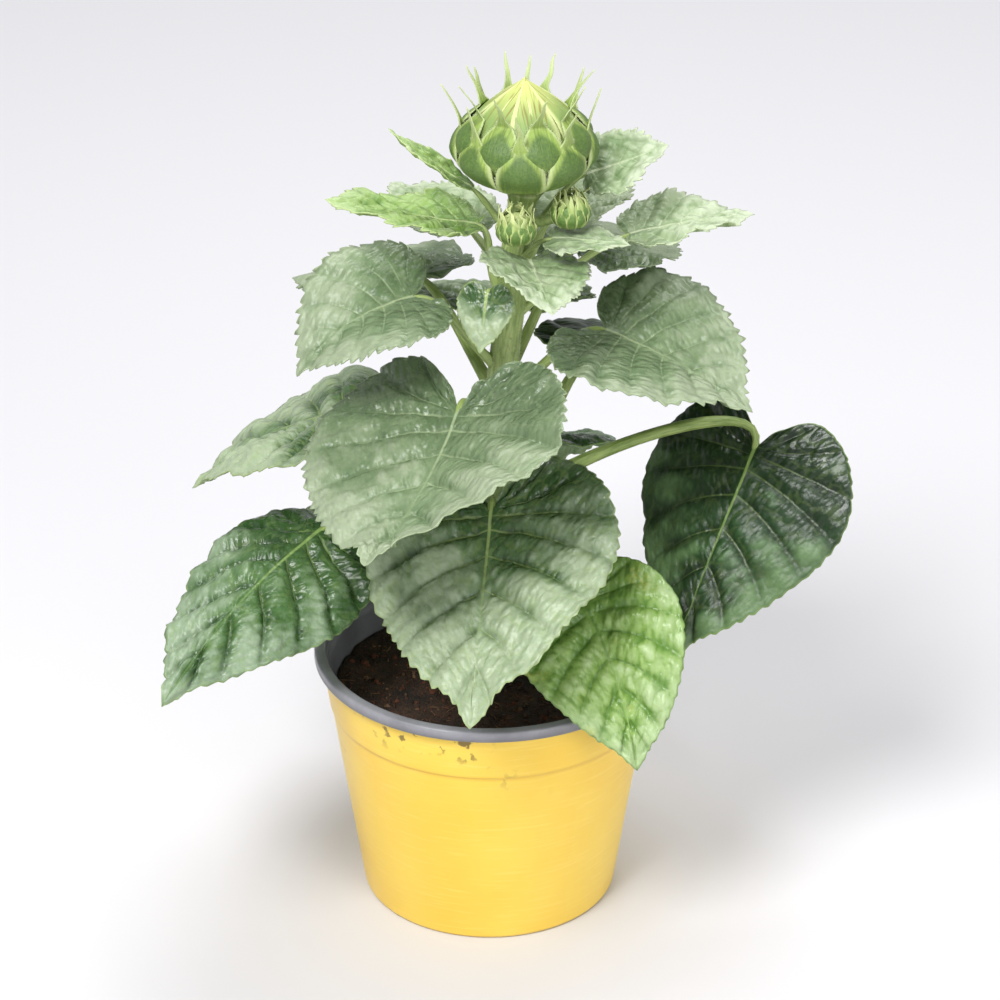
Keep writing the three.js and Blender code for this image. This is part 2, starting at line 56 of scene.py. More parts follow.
# Pot, lining and soil, the same sizes as the solids
GAP = 0.3
POT_HEIGHT = 100
RIM_RADIUS = 65
RIM_WIDTH = 4.2
RIM_DROP = 4.4
RIM_THROAT = 3
POT_BASE_RADIUS = 47.5
POT_TOP_RADIUS = 61.7
POT_WALL = 1.4
POT_FLOOR = 2
POT_RECESS = 0.9
POT_COLLAR_LEVEL = 77
POT_COLLAR_STEP = 0.6
POT_SIDES = 160
DRAIN_COUNT = 6
DRAIN_RADIUS = 4
DRAIN_CIRCLE = 36
LINING_SPLIT = 20
SOIL_LEVEL = 87
SOIL_EDGE_DROP = 3
SOIL_DIP = 1.1
SOIL_DARK = ((0.014, 0.009, 0.006), (0.082, 0.040, 0.022))
SOIL_RED = ((0.4 * 0.21, 0.4 * 0.070, 0.4 * 0.032), (0.21, 0.070, 0.032))
SOIL_TAN = ((0.4 * 0.27, 0.4 * 0.15, 0.4 * 0.080), (0.27, 0.15, 0.080))
SOIL_SIDES = 150
SOIL_RINGS = 52
CRUMB_COUNT = 900
FIBRE_COUNT = 260

# Stem and hairs
STEM_FOOT = SOIL_LEVEL + GAP
STEM_TOP = 284
STEM_LEAN = 12.5
STEM_FOOT_RADIUS = 6.6
STEM_TOP_RADIUS = 4.6
STEM_FLARE = 1.8
STEM_FLARE_HEIGHT = 9
STEM_SWELL = 2.6
STEM_SWELL_HEIGHT = 7
HAIR_COUNT = 3600
HAIR_LENGTH = (0.9, 1.7)
HAIR_RADIUS = 0.1
EDGE_HAIRS = 90
EDGE_HAIR_LENGTH = (0.5, 1.1)
EDGE_HAIR_RADIUS = 0.07

# Leaf outlines from notch to tip, as shares of half the width and of the length
BROAD_OUTLINE = [
    [0, 0], [0.16, -0.13], [0.45, -0.22], [0.80, -0.12], [1.0, 0.12],
    [0.92, 0.36], [0.63, 0.61], [0.27, 0.84], [0, 1],
]
SLIM_OUTLINE = [
    [0, 0], [0.25, -0.03], [0.52, 0.02], [0.80, 0.12], [1.0, 0.28],
    [0.90, 0.48], [0.62, 0.70], [0.28, 0.88], [0, 1],
]
VEIN_ROOTS = [0, 0, 0, 0.01, 0.05, 0.16, 0.36, 0.64, 1]

# Leaf stalks
STALK_RADIUS_SHARE = 0.022
STALK_LEAST_RADIUS = 0.3
STALK_FLARE = 1.35
STALK_OUT = 0.34
STALK_UP = 0.30
STALK_ENTRY = 0.25
STALK_ROWS = 40
RIB_REACH = 0.42
STREAK_LENGTH = 6.0

# Side veins of a blade: where each reaches the margin on the way from notch to tip, and its strength
VEIN_MARKS = [0, 0.13, 0.24, 0.35, 0.46, 0.57, 0.67, 0.76, 0.84, 0.91, 1]
VEIN_STRENGTHS = np.array([0.3, 0.6, 0.6, 0.8, 1.4, 1.0, 0.9, 0.8, 0.6, 0.5, 0.3])
VEIN_SWEEP = 0.55
SMALL_LEAF = 55

# Leaves from the bottom up, with the same sizes as the solids, then the finish of the surface and
# the heights of the margin's teeth and of its ripple in millimetres
LEAVES = table("node turn reach rise length width head pitch bend roll fold cup slim finish teeth wave", [
    (112, 44, 47, 27, 68, 62, 30, -30, -45, 25, 18, -25, 0.5, "bright", 0.5, 0.6),
    (112, -148, 52, 30, 80, 70, -150, -20, -40, 0, 8, -20, 0.2, "dark", 0.8, 1.0),
    (118, -80, 62, 36, 100, 68, -35, -2, -30, -15, -20, -15, 0.3, "glossy", 0.8, 1.3),
    (125, 168, 50, 36, 82, 76, 168, -18, -35, 0, 8, -20, 0.1, "glossy", 0.9, 1.0),
    (138, 0, 31, 35, 88, 95, -6, -30, -5, 14, 6, -25, 0, "sheen", 1.1, 1.5),
    (145, 130, 52, 58, 80, 74, 126, -12, -32, 0, 8, -20, 0.1, "dark", 1.0, 0.8),
    (150, -112, 52, 38, 80, 78, -105, -15, -35, 0, 8, -20, 0.1, "sheen", 1.2, 1.0),
    (154, 95, 96, 23, 84, 86, -40, -52, -5, -5, -5, -15, 0.1, "dark", 0.7, 0.8),
    (172, -20, 38, 43, 88, 106, -22, -32, 38, 18, 12, -12, 0, "matte", 1.7, 1.5),
    (185, 180, 45, 35, 74, 72, 180, -10, -30, 0, 8, -20, 0.1, "sheen", 1.5, 1.2),
    (200, 86, 38, 30, 62, 80, 60, -6, -22, 6, 15, -15, 0.1, "matte", 1.7, 1.2),
    (200, -135, 44, 36, 68, 64, -135, -5, -30, 0, 8, -20, 0.2, "matte", 1.5, 1.1),
    (208, 140, 42, 38, 64, 62, 145, -5, -30, 0, 8, -20, 0.2, "matte", 1.5, 1.1),
    (213, -75, 33, 33, 52, 62, -68, 0, -55, -12, 18, -15, 0.2, "matte", 1.6, 1.1),
    (232, 97, 44, 32, 45, 38, 98, 15, -18, 0, 15, -10, 0.6, "young", 1.5, 1.0),
    (236, -40, 12, 12, 22, 21, -15, -55, -15, 0, 8, -20, 0.2, "sheen", 0.6, 0.4),
    (238, 148, 30, 24, 50, 40, 146, 10, -25, 0, 12, -10, 0.5, "young", 1.5, 0.8),
    (240, -95, 12, 30, 54, 33, -91, 10, 0, 0, 12, -10, 0.8, "fresh", 1.4, 0.8),
    (243, -148, 30, 15, 48, 38, -144, 10, -20, 0, 12, -10, 0.5, "young", 1.5, 0.8),
    (245, 18, 20, 20, 38, 39, 12, 0, -10, -10, 12, -10, 0.2, "young", 1.3, 0.7),
    (255, 44, 19, 16, 28, 26, 78, 8, -16, 0, 6, -10, 0.6, "young", 1.2, 0.7),
    (260, 175, 18, 16, 38, 22, 175, 25, -10, 0, 10, 0, 0.8, "fresh", 1.1, 0.6),
    (262, 108, 26, 24, 31, 30, 88, 22, 0, 25, 8, 0, 0.7, "young", 1.5, 0.9),
    (264, -108, 17, 18, 37, 15, -90, 38, 0, 0, 10, 0, 1, "fresh", 0.8, 0.4),
])

LEAF_ANGLES = ("pitch", "bend", "roll", "fold", "cup")

# Grid of a blade: columns on each side of the midrib, the rows of one tooth with their heights, and
# the pitch of the teeth as a share of the length
COLUMNS = 32
SMALL_COLUMNS = 16
TOOTH = (0.25, 0.6, 1.0, 0.7, 0.0)
SMALL_TOOTH = (0.4, 0.85, 1.0, 0.0)
TOOTH_PITCH = 0.05
BLADE_HALF = 0.36
CELL_SIZE = 4.0
CELL_STRETCH = 2.1
VEIN_SLOPE = math.radians(32)
MIDRIB_SOFT = 2.0
TIP_PINCH = 0.35

# Numbers of a blade's points that its paint reads: lift is the relief, along and out the place from
# the notch and from the midrib, under the lower side, vein, net, rib and edge the way to a side vein,
# to a fine vein, to the midrib and to the margin
BLADE_NUMBERS = ("lift", "along", "out", "under", "vein", "net", "rib", "edge")

# Leaf finishes. Colours are linear: deep in the folds, where it is painted shade, and in random darker
# patches, main on most of the blade, high on the puffed cells, where it is a painted highlight, and in
# random lighter patches, vein on the veins, bloom for the pale film on the upper side, which is
# partly a film of fine hairs and partly painted sheen, and under for the lower side. deep also gives the
# painted shade near the notch. film is how much the pale film covers, gloss the roughness,
# puffed, folds and marks the strength of the cells, of the folds and of the fine veins, and rib_end how
# pale the midrib is at the tip.
FINISHES = {row["finish"]: row for row in table(
    "finish deep main high vein bloom under film gloss puffed folds marks rib_end", [
        ("matte", (0.11, 0.175, 0.08), (0.175, 0.25, 0.125), (0.25, 0.325, 0.185), (0.33, 0.41, 0.23),
         (0.34, 0.395, 0.27), (0.25, 0.34, 0.17), 0.7, 0.34, 0.95, 0.9, 1.0, 0.15),
        ("sheen", (0.037, 0.095, 0.024), (0.10, 0.19, 0.068), (0.18, 0.275, 0.135), (0.34, 0.44, 0.16),
         (0.38, 0.46, 0.30), (0.21, 0.31, 0.15), 0.9, 0.29, 1.15, 1.2, 1.0, 0.15),
        ("glossy", (0.024, 0.068, 0.016), (0.065, 0.14, 0.042), (0.12, 0.21, 0.08), (0.22, 0.33, 0.10),
         (0.34, 0.42, 0.30), (0.16, 0.26, 0.10), 0.6, 0.28, 1.0, 1.5, 1.0, 0.15),
        ("bright", (0.115, 0.24, 0.035), (0.25, 0.40, 0.095), (0.37, 0.52, 0.19), (0.13, 0.24, 0.05),
         (0.46, 0.57, 0.34), (0.22, 0.35, 0.10), 0.6, 0.31, 0.95, 1.5, 1.0, 0.15),
        ("dark", (0.006, 0.019, 0.004), (0.012, 0.040, 0.009), (0.024, 0.070, 0.018), (0.20, 0.30, 0.08),
         (0.17, 0.28, 0.115), (0.12, 0.20, 0.08), 0.55, 0.42, 0.5, 1.6, 0.55, 0.4),
        ("young", (0.17, 0.26, 0.11), (0.33, 0.42, 0.24), (0.46, 0.54, 0.37), (0.50, 0.57, 0.37),
         (0.52, 0.58, 0.44), (0.34, 0.45, 0.20), 0.65, 0.42, 1.5, 1.0, 1.0, 0.15),
        ("fresh", (0.11, 0.22, 0.04), (0.24, 0.37, 0.10), (0.36, 0.48, 0.19), (0.46, 0.56, 0.25),
         (0.48, 0.56, 0.36), (0.34, 0.48, 0.15), 0.5, 0.44, 1.5, 1.0, 1.0, 0.15),
    ])}

# Bud
BUD_BASE = STEM_TOP + GAP
BUD_RADIUS = 22.5
BUD_APEX = 41
BUD_PROFILE = [
    [0.20, 0], [0.50, 2.5], [0.80, 7], [0.96, 12], [1.0, 17], [0.93, 22.5], [0.71, 28.5], [0.43, 33.5],
    [0.20, 37.5], [0.02, BUD_APEX],
]

# Stations up a bract: share of its height, share of its width, how far it stands off its head, and
# thickness. Above the neck an open bract leaves the head and runs up to its tip.
BRACT_NECK = 0.56
OPEN_BRACT = [
    (0, 0.55, -0.4, 1), (0.12, 0.90, 0.9, 1), (0.26, 1, 1.5, 1), (0.38, 0.94, 1.7, 1),
    (0.49, 0.68, 1.6, 0.9), (0.58, 0.36, 1.1, 0.8), (0.68, 0.17, 0.4, 0.7), (0.80, 0.10, 0, 0.6),
    (0.90, 0.07, 0, 0.6), (1, 0.02, 0, 0.5),
]
CLOSED_BRACT = [
    (0, 0.6, -2.2, 1), (0.2, 0.95, -1.7, 1), (0.4, 1, -0.9, 1), (0.6, 0.78, 0, 0.9),
    (0.8, 0.44, 0.5, 0.8), (0.91, 0.2, 0.3, 0.6), (1, 0.04, 0.1, 0.5),
]
CURLED_BRACT = [
    (0, 0.6, 0, 1), (0.2, 1, 1.0, 1), (0.4, 0.9, 1.4, 1), (0.6, 0.6, 1.2, 0.9),
    (0.8, 0.4, 0.6, 0.8), (1, 0.1, 0, 0.5),
]

# Rings of bracts round a bud. start turns a ring and scatter each of its bracts, in degrees. low and
# top are heights above the bud's base, spread is how far the tips stand outside the bud, inset how
# far a closed ring lies further in, belly and lips swell the middle and the edges, sway is how far
# a tip strays, scale is for the stations' distances, and shade is how high the dark belly reaches.
RING_KEYS = ("stations closed count start scatter low top width spread inset belly lips sway thickness "
             "scale rows columns shade")
BRACT_RINGS = table(RING_KEYS, [
    (OPEN_BRACT, False, 8, -4, 2, 3, 38, 17.5, 5, 0, 1.9, 1.1, 2.0, 1.0, 1, 44, 9, 0.42),
    (OPEN_BRACT, False, 8, 18.5, 2, 13, 42, 15.5, 1.5, 0, 1.5, 1.0, 1.8, 0.9, 0.7, 44, 9, 0.38),
    (CLOSED_BRACT, True, 6, 12, 4, 15, 41.3, 19, 0, 0, 0.5, 0.6, 0, 0.8, 1, 36, 9, 0.4),
    (CLOSED_BRACT, True, 6, 42, 4, 15, 41.4, 18, 0, 0.9, 0.3, 0.5, 0, 0.8, 1.4, 36, 9, 0.4),
])

# Side buds on short stalks under the main bud. The sizes of their rings are in shares of their radius.
SIDE_BUDS = table("name node turn reach top radius", [
    ("side_bud_left", 268, -3, 19, 286, 6.4),
    ("side_bud_right", 270, 60, 20.5, 288.5, 6.4),
])
SIDE_RINGS = table(RING_KEYS, [
    (CURLED_BRACT, False, 11, 0, 9, -0.75, 1.2, 0.62, -0.12, 0, 0.08, 0.12, 0.42, 0.08, 0.25, 26, 5, 0.4),
    (CURLED_BRACT, False, 9, 20, 12, -0.2, 1.35, 0.5, -0.55, 0, 0.06, 0.12, 0.42, 0.08, 0.15, 26, 5, 0.4),
])
SIDE_SIZES = ("low", "top", "width", "spread", "belly", "lips", "sway", "thickness")
SIDE_BRACT_TOP = 1.35
SIDE_HEART = 0.88
SIDE_STALK_SHARE = 0.3
SIDE_STALK_OUT = 0.6
SIDE_STALK_UP = 0.2
SIDE_STALK_ROWS = 16


def outward(turn):
    """Level direction of a turn round the stem."""
    angle = math.radians(turn)
    return np.array([math.sin(angle), -math.cos(angle), 0.0])


def mix(a, b, share):
    return a + (b - a) * share


def smooth(value, low, high):
    """0 below low, 1 above high, and a smooth rise between."""
    share = np.clip((value - low) / (high - low), 0, 1)
    return share * share * (3 - 2 * share)


def bulge(value, width):
    """1 at zero, falling off to both sides within about a width."""
    return np.exp(-(value / width) ** 2)


def unit(vectors):
    return vectors / np.linalg.norm(vectors, axis=-1, keepdims=True)


def travelled(path):
    """Way from the start of a path to each of its points."""
    return np.concatenate([[0], np.cumsum(np.linalg.norm(np.diff(path, axis=0), axis=1))])


def curve_through(points, share):
    """Uniform Catmull-Rom curve through points, at shares from 0 to 1 of its way."""
    points = np.array(points, float)
    points = points.reshape(len(points), -1)
    padded = np.vstack([2 * points[0] - points[1], points, 2 * points[-1] - points[-2]])
    place = np.clip(np.asarray(share, float), 0, 1) * (len(points) - 1)
    cell = np.minimum(place.astype(int), len(points) - 2)
    w = (place - cell)[..., None]
    before, start, end, after = (padded[cell + k] for k in range(4))
    slope_in, slope_out = 0.5 * (end - before), 0.5 * (after - start)
    return ((2 * start - 2 * end + slope_in + slope_out) * w ** 3
            + (3 * end - 3 * start - 2 * slope_in - slope_out) * w ** 2 + slope_in * w + start)


def bezier(points, share):
    """Curve from the first point to the last, drawn by those between."""
    last = len(points) - 1
    return sum(math.comb(last, k) * (1 - share) ** (last - k) * share ** k * point
               for k, point in enumerate(points))


def ripple(points, scale, seed):
    """Smooth unevenness from about -1 to 1 over an array of points, with lumps about scale long."""
    rng = np.random.default_rng(seed)
    total = np.zeros(points.shape[:-1])
    for octave in range(3):
        for _ in range(4):
            way = rng.normal(size=points.shape[-1])
            way *= 2 ** octave * 2 * math.pi / (scale * np.linalg.norm(way) * 1.6)
            total += np.sin(points @ way + rng.uniform(0, 7)) * 0.5 ** octave
    return total / 3.5


def cells(points, size, seed):
    """Irregular cells over flat points: distance to the border between two cells, in cell sizes, and
    each cell's own number from 0 to 1."""
    rng = np.random.default_rng(seed)
    spots = rng.random((64, 64, 3))
    place = points / size + 100
    home = np.floor(place).astype(int)
    near = np.full(points.shape[:-1], 9.0)
    second, own = near.copy(), near.copy()
    for i in (-1, 0, 1):
        for j in (-1, 0, 1):
            cell = home + (i, j)
            spot = spots[cell[..., 0] % 64, cell[..., 1] % 64]
            away = np.linalg.norm(cell + 0.1 + 0.8 * spot[..., :2] - place, axis=-1)
            closer = away < near
            second = np.where(closer, near, np.minimum(second, away))
            own = np.where(closer, spot[..., 2], own)
            near = np.minimum(near, away)
    return (second - near) / 2, own


def stem_point(height):
    """Middle of the stem at a height."""
    share = (np.asarray(height, float) - STEM_FOOT) / (STEM_TOP - STEM_FOOT)
    return np.stack([STEM_LEAN * share * share, 0 * share, share * (STEM_TOP - STEM_FOOT) + STEM_FOOT], -1)


def stem_radius(height):
    share = (height - STEM_FOOT) / (STEM_TOP - STEM_FOOT)
    flare = STEM_FLARE * np.maximum(0, 1 - (height - STEM_FOOT) / STEM_FLARE_HEIGHT) ** 2
    return mix(STEM_FOOT_RADIUS, STEM_TOP_RADIUS, share) + flare


# Meshes. A part is a closed body: points, faces as arrays of quads and of triangles, the slot of its
# paint and, where it has them, uv with its places on the bake map and values that its paint reads.


def signed_volume(points, faces):
    total = 0.0
    for face in faces:
        for k in range(1, face.shape[1] - 1):
            a, b, c = points[face[:, 0]], points[face[:, k]], points[face[:, k + 1]]
            total += np.einsum("ij,ij->i", a, np.cross(b, c)).sum()
    return total


def add_object(name, data):
    thing = bpy.data.objects.new(name, data)
    bpy.context.scene.collection.objects.link(thing)
    return thing


def join_parts(parts):
    """Points, faces, slots and map places of several parts, with all faces outward."""
    faces, slots, spots = [], [], []
    start = 0
    for part in parts:
        step = -1 if signed_volume(part["points"], part["faces"]) < 0 else 1
        faces += [face[:, ::step] + start for face in part["faces"]]
        slots += [np.full(len(face), part.get("slot", 0)) for face in part["faces"]]
        spots += [corners[:, ::step].reshape(-1, 2) for corners in part.get("uv", ())]
        start += len(part["points"])
    return np.concatenate([part["points"] for part in parts]), faces, slots, spots


def make_piece(name, parts, materials, slot, *replaced):
    """A smooth mesh of several parts that rides on the plant."""
    points, faces, slots, spots = join_parts(parts)
    mesh = bpy.data.meshes.new(name)
    mesh.vertices.add(len(points))
    mesh.vertices.foreach_set("co", (points * MM).astype(np.float32).ravel())
    corners = np.concatenate([face.ravel() for face in faces])
    counts = np.concatenate([np.full(len(face), face.shape[1]) for face in faces])
    mesh.loops.add(len(corners))
    mesh.loops.foreach_set("vertex_index", corners.astype(np.int32))
    mesh.polygons.add(len(counts))
    mesh.polygons.foreach_set("loop_start", (np.cumsum(counts) - counts).astype(np.int32))
    mesh.polygons.foreach_set("material_index", np.concatenate(slots).astype(np.int32))
    if spots:
        layer = mesh.uv_layers.new(name="OFBake")
        layer.uv.foreach_set("vector", np.concatenate(spots).astype(np.float32).ravel())
    for key in parts[0].get("values", ()):
        numbers = np.concatenate([part["values"][key] for part in parts])
        kind, field = ("FLOAT_VECTOR", "vector") if numbers.ndim == 2 else ("FLOAT", "value")
        attribute = mesh.attributes.new(key, kind, "POINT")
        attribute.data.foreach_set(field, numbers.astype(np.float32).ravel())
    mesh.update(calc_edges=True)
    mesh.shade_smooth()
    mesh.validate()
    for material in materials:
        mesh.materials.append(material)
    piece = add_object(name, mesh)
    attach(piece, "root")
    if replaced:
        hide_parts(*replaced)
    return piece


def bare(part):
    """A part without its places on the bake map."""
    return {key: part[key] for key in part if key != "uv"}


def wrapped(grid):
    """A grid with its first column again at its end."""
    return np.concatenate([grid, grid[:, :1]], 1)


def grid_cells(grid, pointed=False):
    """Corners of the cells of a grid, of point numbers or of map places, rows by columns. A pointed
    grid has triangles at its first and last rows."""
    corners = np.stack([grid[:-1, :-1], grid[:-1, 1:], grid[1:, 1:], grid[1:, :-1]], 2)
    ends = [corners[0][:, [0, 2, 3]], corners[-1][:, [0, 1, 2]]] if pointed else []
    middle = corners[1:-1] if pointed else corners
    return [middle.reshape(-1, *corners.shape[2:]), *ends]


def ring_part(rings, spots, closed=False):
    """Body from rings of points, with a grid of places on the bake map. Its rings close on themselves
    as a whole, or else the first and the last are one point each."""
    index = np.arange(rings[..., 0].size).reshape(rings.shape[:2])
    if closed:
        index = np.concatenate([index, index[:1]])
    else:
        index[[0, -1]] = index[[0, -1], :1]
    used = np.unique(index)
    faces = grid_cells(wrapped(index), not closed)
    return {"points": rings.reshape(-1, 3)[used], "faces": [np.searchsorted(used, face) for face in faces],
            "uv": grid_cells(spots, not closed)}


def tube_part(path, normal, radii, sides, shape=None):
    """Closed tube along a path. radii has one radius for each point, and shape scales it round the
    section, from the normal."""
    tangents = unit(np.gradient(path, axis=0))
    normals = unit(normal - tangents * (tangents @ normal)[:, None])
    sideways = np.cross(tangents, normals)
    turn = np.arange(sides) / sides
    angles = 2 * math.pi * np.arange(sides) / sides
    scale = np.ones(sides) if shape is None else shape(angles)
    ring = np.cos(angles)[:, None] * normals[:, None] + np.sin(angles)[:, None] * sideways[:, None]
    rings = path[:, None] + ring * (np.asarray(radii)[:, None] * scale)[..., None]
    first, last = (np.repeat(path[None, [end]], sides, 1) for end in (0, -1))
    along = travelled(path)
    rows = [0, *(0.03 + 0.94 * (along / along[-1])), 1]
    spots = np.stack(np.meshgrid(rows, [*turn, 1], indexing="ij"), -1)
    return {
        **ring_part(np.concatenate([first, rings, last]), spots),
        "along": np.concatenate([[0], np.repeat(along, sides), along[-1:]]),
        "round": np.concatenate([[0], np.tile(turn, len(path)), [0]]),
    }


def sheet_part(top, bottom, spots, pointed, numbers):
    """Closed thin body between two grids of points, rows by columns, each on its own half of the bake
    map. A pointed one has a single point for its first and for its last row."""
    keep = np.ones(top.shape[:2], bool)
    keep[[0, -1], 1:] = not pointed
    number = np.cumsum(keep).reshape(keep.shape) - 1
    layer = int(keep.sum())
    lower = spots + [0.5, 0]
    faces = grid_cells(number, pointed) + [face[:, ::-1] for face in grid_cells(number + layer, pointed)]
    maps = grid_cells(spots, pointed) + [face[:, ::-1] for face in grid_cells(lower, pointed)]
    middle = spots.reshape(-1, 2).mean(0)
    border = [np.s_[::-1, 0], np.s_[:, -1]]
    if not pointed:
        border += [np.s_[0], np.s_[-1, ::-1]]
    for place in border:
        line, near = number[place], spots[place]
        away = near - middle
        away = near + 0.004 * away / np.maximum(1e-9, np.linalg.norm(away, axis=1, keepdims=True))
        faces.append(np.stack([line[:-1], line[:-1] + layer, line[1:] + layer, line[1:]], -1))
        maps.append(np.stack([near[:-1], away[:-1], away[1:], near[1:]], -2))
    return {
        "points": np.concatenate([top[keep], bottom[keep]]), "faces": faces, "uv": maps,
        "values": {key: np.tile(numbers[key][keep].T, 2).T for key in numbers},
    }


def place_map(part, low_u, low_v, high_u, high_v):
    """Moves a part's bake map from the whole square to a box of it."""
    size = [high_u - low_u, high_v - low_v]
    part["uv"] = [[low_u, low_v] + corners * size for corners in part["uv"]]
    return part


def lathe_part(profile, sides):
    """Closed solid of revolution about the upright axis, from a profile whose ends lie on the axis
    or which closes on itself."""
    profile = np.array(profile, float)
    closed = np.allclose(profile[0], profile[-1])
    ring = profile[:-1] if closed else profile
    angles = 2 * math.pi * np.arange(sides) / sides
    around = np.stack([np.sin(angles), -np.cos(angles)], -1)
    rings = np.concatenate([ring[:, None, :1] * around, np.repeat(ring[:, None, 1:], sides, 1)], -1)
    way = travelled(profile)
    columns = 0.01 + 0.98 * np.arange(sides + 1) / sides
    return ring_part(rings, np.stack(np.meshgrid(columns, 0.01 + 0.98 * way / way[-1]), -1), closed)


def plain_values(part, keys):
    """Numbers of a part without any marks: zeros, and the points' own places."""
    return {**{key: np.zeros(len(part["points"])) for key in keys}, "flat": part["points"].copy()}


# Materials


class Output:
    """A node's output in a material. Sums, products and steps of it are further nodes."""

    def __init__(self, paint, socket):
        self.paint = paint
        self.socket = socket

    def math(self, operation, other):
        return self.paint.node("ShaderNodeMath", {0: self, 1: other}, operation=operation)

    def __add__(self, other):
        return self.math("ADD", other)

    def __sub__(self, number):
        return self.math("ADD", -number)

    def __mul__(self, other):
        return self.math("MULTIPLY", other)

    def most(self, other):
        return self.math("MAXIMUM", other)

    def step(self, low, high, start=0.0, end=1.0):
        """start below low, end above high, and a smooth change between."""
        return self.paint.node("ShaderNodeMapRange", {"Value": self, "From Min": low, "From Max": high,
                                                      "To Min": start, "To Max": end},
                               interpolation_type="SMOOTHSTEP")


class Paint:
    """A procedural material, built by short calls that each return the new node's output."""

    def __init__(self, name):
        self.material = bpy.data.materials.new(name)
        self.material.use_nodes = True
        self.tree = self.material.node_tree
        self.colour = None

    def put(self, socket, value):
        if isinstance(value, Output):
            self.tree.links.new(value.socket, socket)
        elif isinstance(value, tuple) and socket.type == "RGBA":
            socket.default_value = (*value, 1.0)
        else:
            socket.default_value = value

    def done(self, colour=None, **values):
        """Sets the shader's inputs and gives the material."""
        values["Base Color"] = colour or self.colour
        for key, value in values.items():
            self.put(self.tree.nodes["Principled BSDF"].inputs[key], value)
        return self.material

    def node(self, kind, inputs, output=0, **settings):
        node = self.tree.nodes.new(kind)
        for key, value in settings.items():
            setattr(node, key, value)
        for key, value in inputs.items():
            self.put(node.inputs[key], value)
        return Output(self, node.outputs[output])

    def number(self, name, output="Fac"):
        return self.node("ShaderNodeAttribute", {}, output, attribute_name=name)

    def place(self, name):
        return self.number(name, "Vector")

    def body_place(self):
        """Place on the body, in metres."""
        return self.node("ShaderNodeTexCoord", {}, "Object")

    def height(self, place):
        return self.node("ShaderNodeSeparateXYZ", {0: place}, "Z")

    def mix(self, share, a, b):
        return self.node("ShaderNodeMix", {0: share, 6: a, 7: b}, 2, data_type="RGBA")

    def coat(self, share, colour, base=None):
        """Lays a colour over the one so far, or over a base."""
        self.colour = self.mix(share, base or self.colour, colour)

    def noise(self, place, size, detail=2.0):
        return self.node("ShaderNodeTexNoise", {"Vector": place, "Scale": 1.0 / size, "Detail": detail})

    def lines(self, place, stretch, detail):
        """Noise drawn out along one way."""
        place = self.node("ShaderNodeVectorMath", {0: place, 1: stretch}, operation="MULTIPLY")
        return self.noise(place, 1, detail)

    def bump(self, height, distance):
        """Relief in millimetres."""
        return self.node("ShaderNodeBump", {"Height": height, "Distance": distance * MM, "Strength": 1.0})


def shade(colour, share):
    return tuple(share * part for part in colour)


def blade_paint(name, finish, seed):
    """Leaf blade: a broad change of green, painted shade in the folds and near the notch, a painted
    highlight on the puffed cells, pale veins and margin, a pale film over part of the upper side that is
    partly fine hairs and partly painted sheen, and fine crinkles between the veins."""
    look = FINISHES[finish]
    paint = Paint(name)
    flat = paint.node("ShaderNodeVectorMath", {0: paint.place("flat"), 1: (7.3 * seed, 3.1 * seed, 0.0)})
    broad, middling, fine = (paint.noise(flat, size, 3.0) for size in (24, 6, 1.3))
    lift, along, out, under, vein, net, rib, edge = (paint.number(key) for key in BLADE_NUMBERS)
    # Painted shade and highlight: the deep colour goes into the folds and the high colour onto the puffed
    # cells, with random patches from the noise.
    height = lift * 0.5 + (middling - 0.5) * 0.7 + (broad - 0.5) * 1.0
    paint.coat(height.step(-0.5, 0.0), look["main"], look["deep"])
    paint.coat(height.step(0.0, 0.6), look["high"])
    # Painted shade: the blade is darker near the notch.
    near = (along + (broad - 0.5) * 0.5).step(-0.12, 0.42, 0.7, 0.0)
    paint.coat(near, shade(look["deep"], 0.75))
    # The pale film is partly fine hairs and partly painted sheen, and it is thicker on the puffed cells, a
    # painted highlight there.
    cover = look["film"]
    film = along * 0.35 + out * 0.25 + broad * 0.9 + lift * 0.16
    film = film.step(1.0 - 0.6 * cover, 1.35 - 0.6 * cover) * cover
    film = film * fine.step(0.2, 0.7, 0.8, 1.0) * near.step(0.0, 0.7, 1.0, 0.4)
    paint.coat(film, look["bloom"])
    if finish == "bright":
        sick = paint.noise(flat, 17).step(0.58, 0.70) * fine.step(0.35, 0.6)
        paint.coat(sick * 0.55, (0.42, 0.42, 0.06))
    marks = look["marks"]
    veins = vein.step(0.15, 0.6, 0.6 * marks, 0.0) * out.step(0.2, 0.95, 1.0, 0.35)
    midrib = rib.step(0.45, 1.15, 1.0, 0.0) * along.step(0.1, 0.65, 1.0, look["rib_end"])
    margin = edge.step(0.15, 0.75, 0.6, 0.0)
    lines = veins.most(net.step(0.10, 0.45, 0.22 * marks, 0.0)).most(midrib.most(margin))
    paint.coat(lines, look["vein"])
    below = paint.mix(middling.step(0.3, 0.7, 0.0, 0.35), look["under"], look["main"])
    paint.coat(under, paint.mix(lines.most(veins * 1.6), below, look["vein"]))
    rough = middling * 0.2 + (look["gloss"] - 0.1) + film * 0.10 + near * -0.13 + under * 0.2
    crinkle = {"Vector": paint.place("weave"), "Scale": 1 / 2.2, "Smoothness": 0.4}
    crinkle = paint.node("ShaderNodeTexVoronoi", crinkle, feature="SMOOTH_F1")
    relief = crinkle * -1.2 + fine * 0.3 + paint.noise(flat, 0.35) * 0.08
    return paint.done(Roughness=rough, IOR=1.5, Normal=paint.bump(relief, 0.8 * marks))


